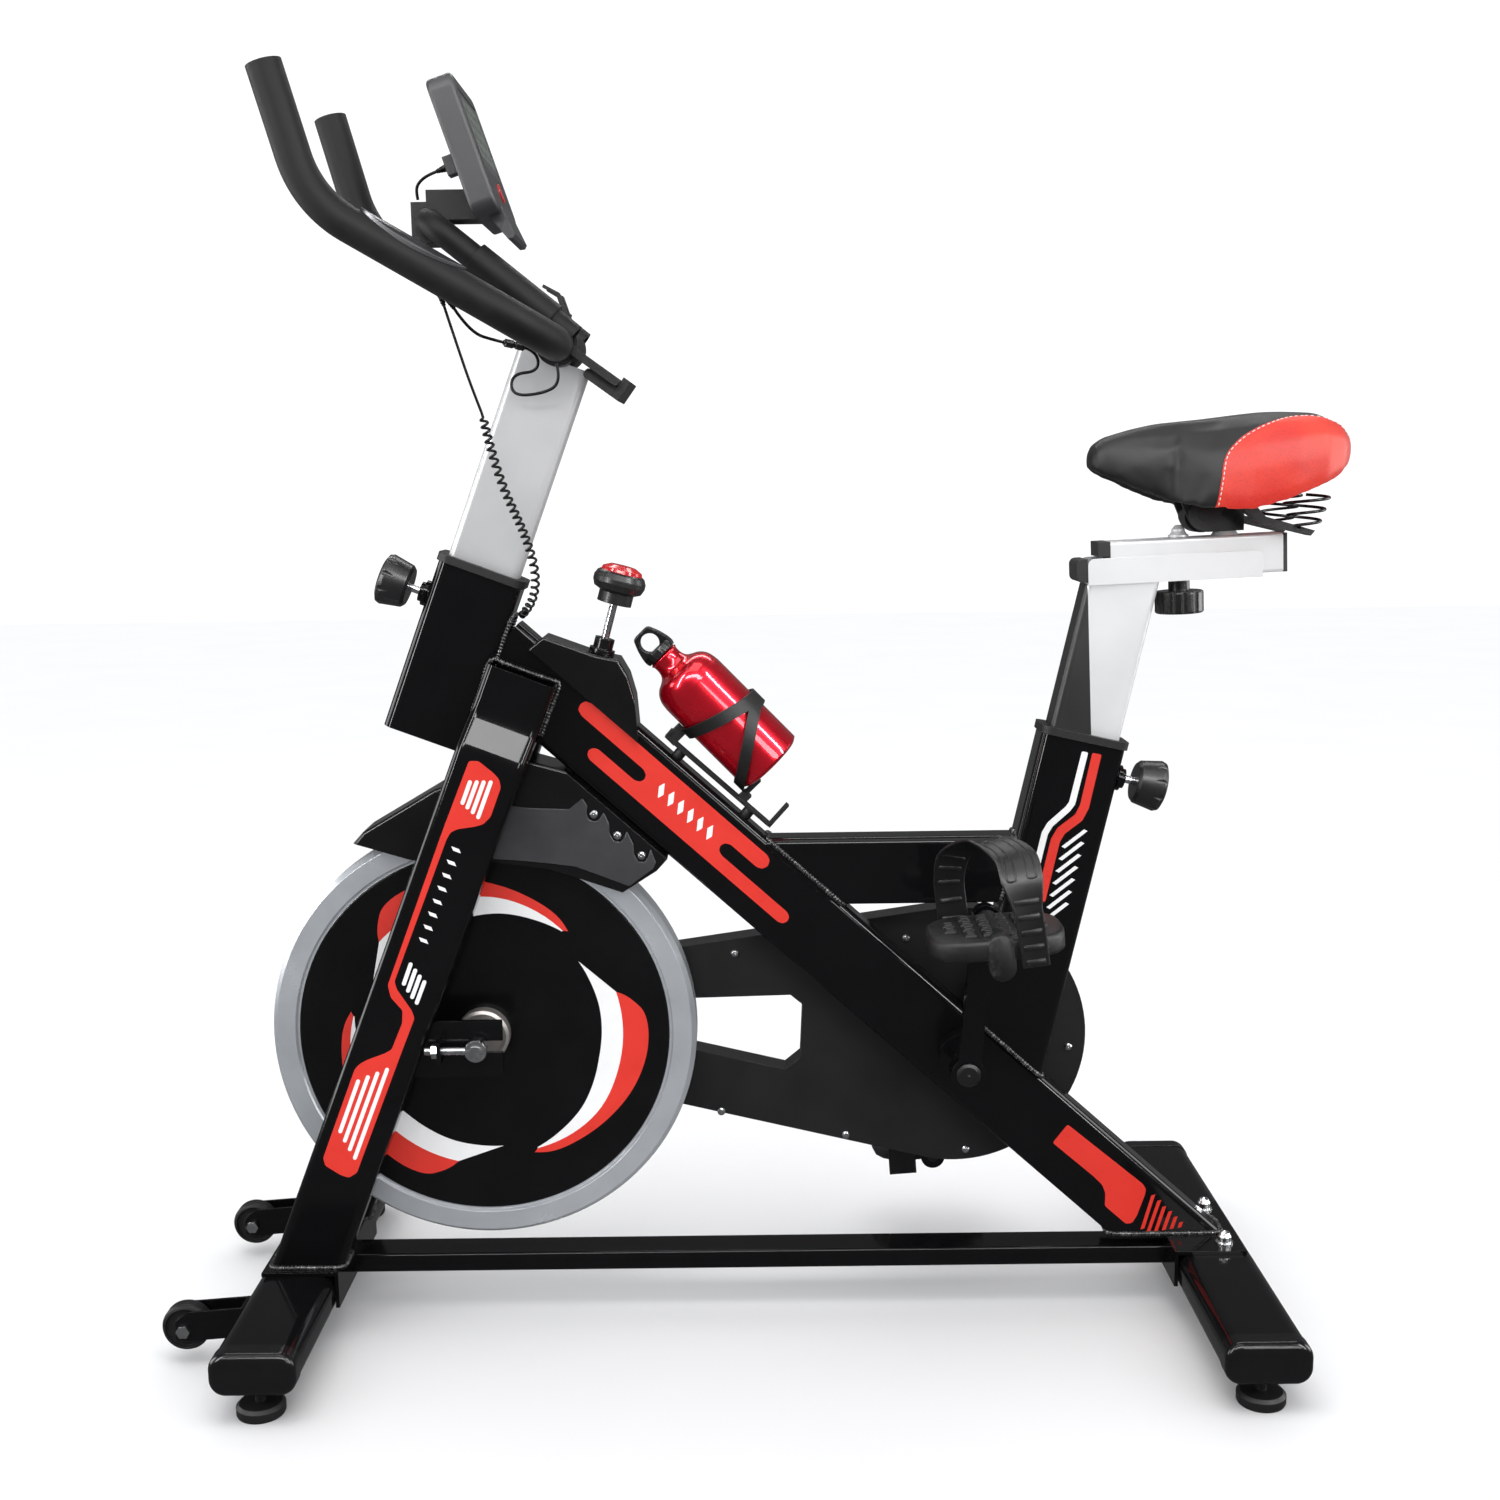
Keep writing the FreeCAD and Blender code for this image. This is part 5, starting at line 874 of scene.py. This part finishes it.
def apply_modifiers(piece, *modifiers):
    for kind, settings in modifiers:
        modifier = piece.modifiers.new(kind.lower(), kind)
        for key, value in settings.items():
            setattr(modifier, key, value)
    evaluated = piece.evaluated_get(bpy.context.evaluated_depsgraph_get())
    mesh = bpy.data.meshes.new_from_object(evaluated)
    piece.modifiers.clear()
    piece.data = mesh


def make_saddle():
    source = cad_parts["saddle_pad"].data.copy()
    if "custom_normal" in source.attributes:
        source.attributes.remove(source.attributes["custom_normal"])
    piece = bpy.data.objects.new("saddle_cover", source)
    scene.collection.objects.link(piece)
    for vertex in source.vertices:
        vertex.co = PAD_CENTRE + (vertex.co - PAD_CENTRE) * PAD_START_SCALE
    apply_modifiers(piece, ("REMESH", dict(mode="VOXEL", voxel_size=0.004)))
    inflate(piece)
    apply_modifiers(piece, ("SMOOTH", dict(factor=0.5, iterations=3)), ("SUBSURF", dict(levels=1)))
    mesh = piece.data
    mesh.materials.clear()
    mesh.materials.append(materials["leather"])
    mesh.polygons.foreach_set("use_smooth", [True] * len(mesh.polygons))
    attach(piece, "saddle")
    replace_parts(piece, "saddle_pad")
    return piece


def seam_on_surface(cover, side):
    """The seam's line on the swollen cover, from the skirt up and back over the tail."""
    bm = bmesh.new()
    bm.from_mesh(cover.data)
    tree = BVHTree.FromBMesh(bm)
    bm.free()
    spots = []
    knots = [Vector(point) for point in SEAM_POINTS]
    for spot in curve_through(knots, 12):
        x, z = spot.x * MM, spot.y * MM
        hit, normal, _, _ = tree.ray_cast(Vector((x, side * 0.3, z)), Vector((0, -side, 0)))
        if hit is None or hit.y * side < 0.004:
            continue
        spots.append((hit / MM, normal))
    return spots


STITCH_PITCH = 4.2


def make_stitching(cover):
    for side, name in ((1, "left"), (-1, "right")):
        spots = seam_on_surface(cover, side)
        line = evenly([point - normal * 0.35 for point, normal in spots], 1.5)
        tube_piece("saddle_piping_" + name, line, 0.8, 8, "leather", "saddle")
        bm = bmesh.new()
        travelled = 0.0
        for (a, normal_a), (b, normal_b) in zip(spots, spots[1:]):
            travelled += (b - a).length
            if travelled < STITCH_PITCH:
                continue
            travelled = 0.0
            along = (b - a).normalized()
            out = normal_a.normalized()
            across = along.cross(out).normalized()
            if across.z > 0:
                across = -across
            middle = a + across * 2.2 + out * 0.1
            ends = [middle - along * 1.5 - out * 0.25, middle - along * 0.9 + out * 0.15,
                    middle + along * 0.9 + out * 0.15, middle + along * 1.5 - out * 0.25]
            sweep(bm, ends, [0.3, 0.5, 0.5, 0.3], sides=6)
        add_piece("saddle_stitches_" + name, bm, "thread", "saddle")


cover = make_saddle()
make_stitching(cover)


# ---- saddle springs: conical coils that stand on the rear beams ----
SPRING_TURNS, SPRING_STEPS = 2.7, 40
SPRING_TOP_RADIUS_GAIN, SPRING_FOOT_RADIUS, SPRING_WIRE = 10, 13, 1.5
SPRING_X, SPRING_Y, SPRING_FOOT, SPRING_HEIGHT = -544, 44, 812, 30


def make_springs():
    count = int(SPRING_TURNS * SPRING_STEPS)
    for side, name in ((1, "left"), (-1, "right")):
        line = []
        for k in range(count + 1):
            part = k / (SPRING_TURNS * SPRING_STEPS)
            angle = 2 * math.pi * SPRING_TURNS * part
            radius = SPRING_FOOT_RADIUS + SPRING_TOP_RADIUS_GAIN * part
            line.append(Vector((SPRING_X + radius * math.cos(angle), side * (SPRING_Y + radius * math.sin(angle)),
                                SPRING_FOOT + SPRING_HEIGHT * part)))
        spring = tube_piece("saddle_spring_" + name, line, SPRING_WIRE, 10, "satin_black", "saddle")
        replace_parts(spring, "saddle_springs")


make_springs()


# ---- bottle ----
def make_bottle():
    place = lean_frame(BOTTLE, BOTTLE_LEAN)
    knots = [(0.5, 0.6), (27, 0.5), (33, 1.6), (35.8, 4.5), (36.5, 9), (36.5, 60), (36.5, 108), (36.1, 117),
             (34.8, 124), (32, 129.5), (27.5, 134), (22, 137), (18, 139.8), (15.8, 143.5), (15, 148), (15.2, 153),
             (16.4, 155), (14.3, 156.9)]
    profile = []
    for spot in curve_through([Vector(knot) for knot in knots], 4):
        profile.append((max(0.3, min(36.5, spot.x)), max(0.0, min(157.0, spot.y))))
    bm = bmesh.new()
    lathe(bm, place, profile, segments=96)
    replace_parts(add_piece("bottle_shell", bm, "bottle_lacquer", "bottle", sharp=50), "bottle")


def make_bottle_cap():
    """A flat loop that widens towards the neck, with one large round hole."""
    place = lean_frame(BOTTLE, BOTTLE_LEAN)
    corners = [(-17.6, 157.4), (17.6, 157.4), (17.4, 166), (14.5, 177), (9.6, 188.6), (-9.6, 188.6), (-14.5, 177),
               (-17.4, 166)]
    outline = round_corners(corners, 3.5)
    centre, hole, count = Vector((0, 174.5)), 9.7, 72
    rims = []
    for cos, sin in circle(count):
        ray = Vector((cos, sin))
        reach = 0.0
        for a, b in zip(outline, outline[1:] + outline[:1]):
            edge = b - a
            cross = ray.x * edge.y - ray.y * edge.x
            if abs(cross) < 1e-9:
                continue
            offset = a - centre
            along = (offset.x * edge.y - offset.y * edge.x) / cross
            part = (offset.x * ray.y - offset.y * ray.x) / cross
            if along > 0 and -1e-6 <= part <= 1 + 1e-6:
                reach = max(reach, along)
        section = [(hole + 0.9, -6), (reach - 1.1, -6), (reach, -4.9), (reach, 4.9), (reach - 1.1, 6), (hole + 0.9, 6),
                   (hole, 5.1), (hole, -5.1)]
        rims.append([place @ Vector((ray.x * r, y, centre.y + ray.y * r)) for r, y in section])
    bm = bmesh.new()
    loft(bm, rims, closed=True)
    loop = add_piece("bottle_cap_loop", bm, "knob_plastic", "bottle_cap", sharp=35)
    bm = bmesh.new()
    lathe(bm, place, [(12.5, 157.3), (16.6, 157.3), (17.2, 158), (17.2, 163), (16.4, 165.5), (8, 166.2)],
          segments=72, flutes=24, depth=0.5)
    skirt = add_piece("bottle_cap_skirt", bm, "knob_plastic", "bottle_cap", sharp=35)
    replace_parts(loop, "bottle_cap")
    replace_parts(skirt, "bottle_cap")


make_bottle()
make_bottle_cap()


# ---- pedals ----
PEDALS = {"left": (1, -231.2, 438.2), "right": (-1, -198.8, 119.8)}
PEDAL_TILT = 4
PEDAL_PLACE = Matrix.Rotation(math.radians(PEDAL_TILT), 4, "Y")


def slab(bm, outline, place, levels):
    """A rounded slab: the same outline at several heights, each drawn in by its own amount."""
    outline = [Vector(point) for point in outline]
    centre = sum(outline, Vector((0, 0))) / len(outline)
    half = max((point - centre).length for point in outline)
    rings = []
    for height, drawn in levels:
        spots = [centre + (point - centre) * (1 - drawn / half) for point in outline]
        rings.append([place @ Vector((spot.x, spot.y, height)) for spot in spots])
    loft(bm, rings)


def rectangle(x, y, wide, deep, corner):
    points = [(x - wide / 2, y - deep / 2), (x + wide / 2, y - deep / 2), (x + wide / 2, y + deep / 2),
              (x - wide / 2, y + deep / 2)]
    return round_corners(points, corner)


STRAP_PATH = [(33, 101.8, -24), (33, 101.8, 9), (34, 103, 45), (27, 115, 71), (2, 150, 90), (-18, 187, 82),
              (-22, 206, 63), (-25, 211, 36), (-28, 211.5, 8), (-30, 211, -18)]
STRAP_WIDTH = [30, 30, 30, 33, 38, 40, 39, 27, 26, 25]


def strap_frames():
    """Points along the strap's middle, each with its across and outward directions and its width."""
    knots = [Vector(point) for point in STRAP_PATH]
    line = curve_through(knots, 8)
    widths = []
    for low, high in zip(STRAP_WIDTH, STRAP_WIDTH[1:]):
        widths += [low + (high - low) * k / 8 for k in range(8)]
    widths.append(STRAP_WIDTH[-1])
    frames = []
    for i, point in enumerate(line):
        along = (line[min(i + 1, len(line) - 1)] - line[max(i - 1, 0)]).normalized()
        across = (Vector((1, 0, 0)) - along * along.x).normalized()
        out = across.cross(along)
        frames.append((point, across, out, along, widths[i]))
    return frames


def strap_rungs(bm, place, spots, margin, deep, levels):
    """Short bars across the strap, at each of these spots along it."""
    for point, across, out, along, width in spots:
        rung = Matrix((across, along, out)).transposed().to_4x4()
        rung.translation = point
        slab(bm, rectangle(0, 0, width - margin, deep, 1.6), place @ rung, levels)


def make_pedal(name):
    side, axle_x, axle_z = PEDALS[name]
    place = Matrix.Translation((axle_x, 0, axle_z)) @ Matrix.Scale(side, 4, (0, 1, 0)) @ PEDAL_PLACE
    body = name + "_pedal"
    bm = bmesh.new()
    plan = rectangle(0, 156, 128, 100, 40)
    slab(bm, plan, place, [(-12, 3.5), (-10.8, 1), (-8, 0), (3.5, 0), (6.4, 1.4), (7.6, 4)])
    hanger = Matrix.Translation((0, 193, 0)) @ Matrix.Rotation(math.radians(90), 4, "X")
    block = []
    for centre_y, radius, start in ((0, 12.5, 0), (-19, 12.3, 180)):
        for angle in range(start, start + 181, 12):
            turn = math.radians(angle)
            block.append((radius * math.cos(turn), centre_y + radius * math.sin(turn)))
    slab(bm, block, place @ hanger, [(-14.4, 1.2), (-13.4, 0), (12, 0), (13, 1.2)])
    barrel = [Vector((0, y, 0)) for y in (106.2, 110, 150, 190)]
    sweep(bm, [place @ point for point in barrel], [10.5, 11, 11, 11], sides=24)
    platform = add_piece(body + "_platform", bm, "plastic", body, sharp=50)
    bm = bmesh.new()
    for row in range(6):
        for column in range(4):
            x, y = -42 + 16.8 * row, 128 + 18.5 * column
            if abs(x) > 40 and column in (0, 3):
                continue
            slab(bm, rectangle(x, y, 12.5, 15.5, 3), place, [(7.2, 0), (9.6, 0.2), (10.6, 1.2)])
            for bump in (-3.5, 3.5):
                slab(bm, rectangle(x, y + bump, 8, 3.4, 1.5), place, [(10.4, 0), (11.5, 0.4), (11.8, 1)])
    tread = add_piece(body + "_tread", bm, "rubber", body, sharp=40)
    bm = bmesh.new()
    rings = []
    frames = strap_frames()
    for point, across, out, along, width in frames:
        half = width / 2
        section = [(-half, -0.6), (-half + 0.8, -1.5), (half - 0.8, -1.5), (half, -0.6), (half, 0.9), (half - 1.2, 1.7),
                   (half - 3.2, 1.3), (-half + 3.2, 1.3), (-half + 1.2, 1.7), (-half, 0.9)]
        rings.append([place @ (point + across * u + out * v) for u, v in section])
    loft(bm, rings)
    for offset in (-9.5, 9.5):
        loop = []
        for stretch, shift in ((range(34, 50, 2), offset - 3.8), (range(48, 32, -2), offset + 3.8)):
            for point, across, out, along, width in (frames[i] for i in stretch):
                loop.append(point + across * shift + out * 1.5)
        sweep(bm, [place @ point for point in curve_through(loop, 3, closed=True)], 0.75, sides=6, closed=True)
    strap_rungs(bm, place, frames[54:-1:4], 7, 4.6, [(1.0, 0), (2.1, 0.3), (2.5, 1.0)])
    strap_rungs(bm, place, frames[7:24:4], 9, 4.2, [(-2.4, 1.0), (-2.0, 0.3), (-1.0, 0)])
    strap = add_piece(body + "_strap", bm, "strap_rubber", body, sharp=45)
    for piece in (platform, tread, strap):
        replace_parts(piece, body)


make_pedal("left")
make_pedal("right")


# ---- wheel guard: a raised lower panel, cut away round each of its screws ----
GUARD_PANEL = [(270, 548), (223, 541), (180, 539), (166, 550), (161, 542), (162.2, 534), (159.5, 527.5), (153, 526.2),
               (148.5, 529.5), (144.8, 535.5), (139.6, 523), (139.6, 513.5), (135.5, 506), (129, 504.5),
               (125.5, 508.5), (122.2, 516), (116, 502.5), (115.4, 492), (111.5, 484.5), (105, 483.6), (101.6, 489),
               (98.5, 497), (93.5, 483), (96, 477), (121, 458.8), (148, 469.5), (174, 479.6), (201, 483.5),
               (223, 486), (270, 490)]


def make_guard_panels():
    place = face_frame((0, 0), 0, 29.9, flip=-1)
    for name, mirror in (("left", 1), ("right", -1)):
        bm = bmesh.new()
        outline = round_corners(GUARD_PANEL, 1.8)
        caps = loft(bm, [[place @ Vector((x, y, height)) for x, y in outline] for height in (0, 1.9)])
        for cap in caps:
            cap.normal_update()
        rim = list(caps[1].edges)
        bmesh.ops.triangulate(bm, faces=caps[:1], ngon_method="EAR_CLIP")
        bmesh.ops.bevel(bm, geom=rim, offset=0.7, segments=2, affect="EDGES", clamp_overlap=True)
        large = [face for face in bm.faces if len(face.verts) > 4]
        bmesh.ops.triangulate(bm, faces=large, ngon_method="EAR_CLIP")
        bm.transform(Matrix.Scale(mirror, 4, (0, 1, 0)))
        # the panel's lighter grey is a painted reflection
        add_piece("wheel_guard_panel_" + name, bm, "guard_plastic_painted_reflection", "frame", sharp=25)


make_guard_panels()


# ---- console: display window with plain bars, and a bezel ----
def console_layer(name, outlines, height, thick, finish_name):
    """Thin layers on the console's front. Their X runs up the console and their Z looks to the rider."""
    place = lean_frame(CONSOLE, CONSOLE_LEAN) @ Matrix.Rotation(math.radians(-90), 4, "Y")
    bm = bmesh.new()
    for outline in outlines:
        film(bm, outline, place @ Matrix.Translation((0, 0, height)), thick)
    add_piece(name, bm, finish_name, "handlebar_post", smooth=False)


def box_outline(low_x, low_y, high_x, high_y, corner):
    return round_corners([(low_x, low_y), (high_x, low_y), (high_x, high_y), (low_x, high_y)], corner)


def make_console_face():
    surface = 11.5
    console_layer("console_glass", [box_outline(45, -53, 117, 53, 3)], surface, 1.0, "glass")
    console_layer("console_display", [box_outline(54, -43, 110, 43, 2)], surface + 1.0, 0.15, "display")
    spots = [(60 + 13 * row, -30 + 26 * column) for row in range(4) for column in range(3)]
    bars = [box_outline(x, y, x + 5, y + 16, 0.8) for x, y in spots]
    console_layer("console_bars", bars, surface + 1.15, 0.08, "glass")


make_console_face()


# ---- floor and light ----
def make_stage():
    bm = bmesh.new()
    bmesh.ops.create_grid(bm, x_segments=8, y_segments=8, size=9000)
    floor = add_piece("studio_floor", bm, "floor")
    floor.visible_glossy = False


def area_light(name, location, target, size, power):
    data = bpy.data.lights.new(name, "AREA")
    data.shape = "RECTANGLE"
    data.size, data.size_y = size
    data.energy = power
    light = bpy.data.objects.new(name, data)
    light.location = location
    light.visible_diffuse = name == "key"
    light.rotation_euler = (Vector(target) - Vector(location)).to_track_quat("-Z", "Y").to_euler()
    scene.collection.objects.link(light)


def make_world():
    world = bpy.data.worlds.new("studio")
    world.use_nodes = True
    tree = world.node_tree
    background = tree.nodes["Background"]
    background.inputs[0].default_value = (0.98, 0.99, 1, 1)
    # the walls of the studio are lit for the backdrop, and dim in reflections
    path = tree.nodes.new("ShaderNodeLightPath")
    level = tree.nodes.new("ShaderNodeMapRange")
    tree.links.new(path.outputs["Is Glossy Ray"], level.inputs["Value"])
    level.inputs["To Min"].default_value = 1.12
    level.inputs["To Max"].default_value = 0.14
    tree.links.new(level.outputs[0], background.inputs[1])
    scene.world = world
    scene.view_settings.view_transform = "Standard"


make_stage()
make_world()

# name, place, aim, size, power; all but the key light show in reflections only
for light in (
    ("key", (0.2, 0.6, 3.0), (0, 0, 0.5), (2.4, 1.6), 26),
    ("left_strip", (1.9, 1.5, 1.7), (0.1, 0, 0.6), (0.3, 2.2), 60),
    ("right_strip", (-2.0, 1.3, 1.8), (-0.1, 0, 0.6), (0.3, 2.2), 70),
    ("rear_strip", (0.0, -1.6, 2.6), (0, 0, 0.6), (3.0, 0.3), 25),
    ("front_box", (0.0, 2.4, 2.4), (0, 0, 0.7), (2.8, 0.5), 85),
    ("saddle_box", (-1.35, 2.3, 1.3), (-0.45, 0, 0.87), (0.8, 0.6), 16),
    ("left_wall", (3.0, -0.2, 0.9), (0.0, 0, 0.7), (1.6, 1.6), 50),
    ("right_wall", (-3.0, -0.4, 0.9), (0.0, 0, 0.7), (1.6, 1.6), 50),
):
    area_light(*light)
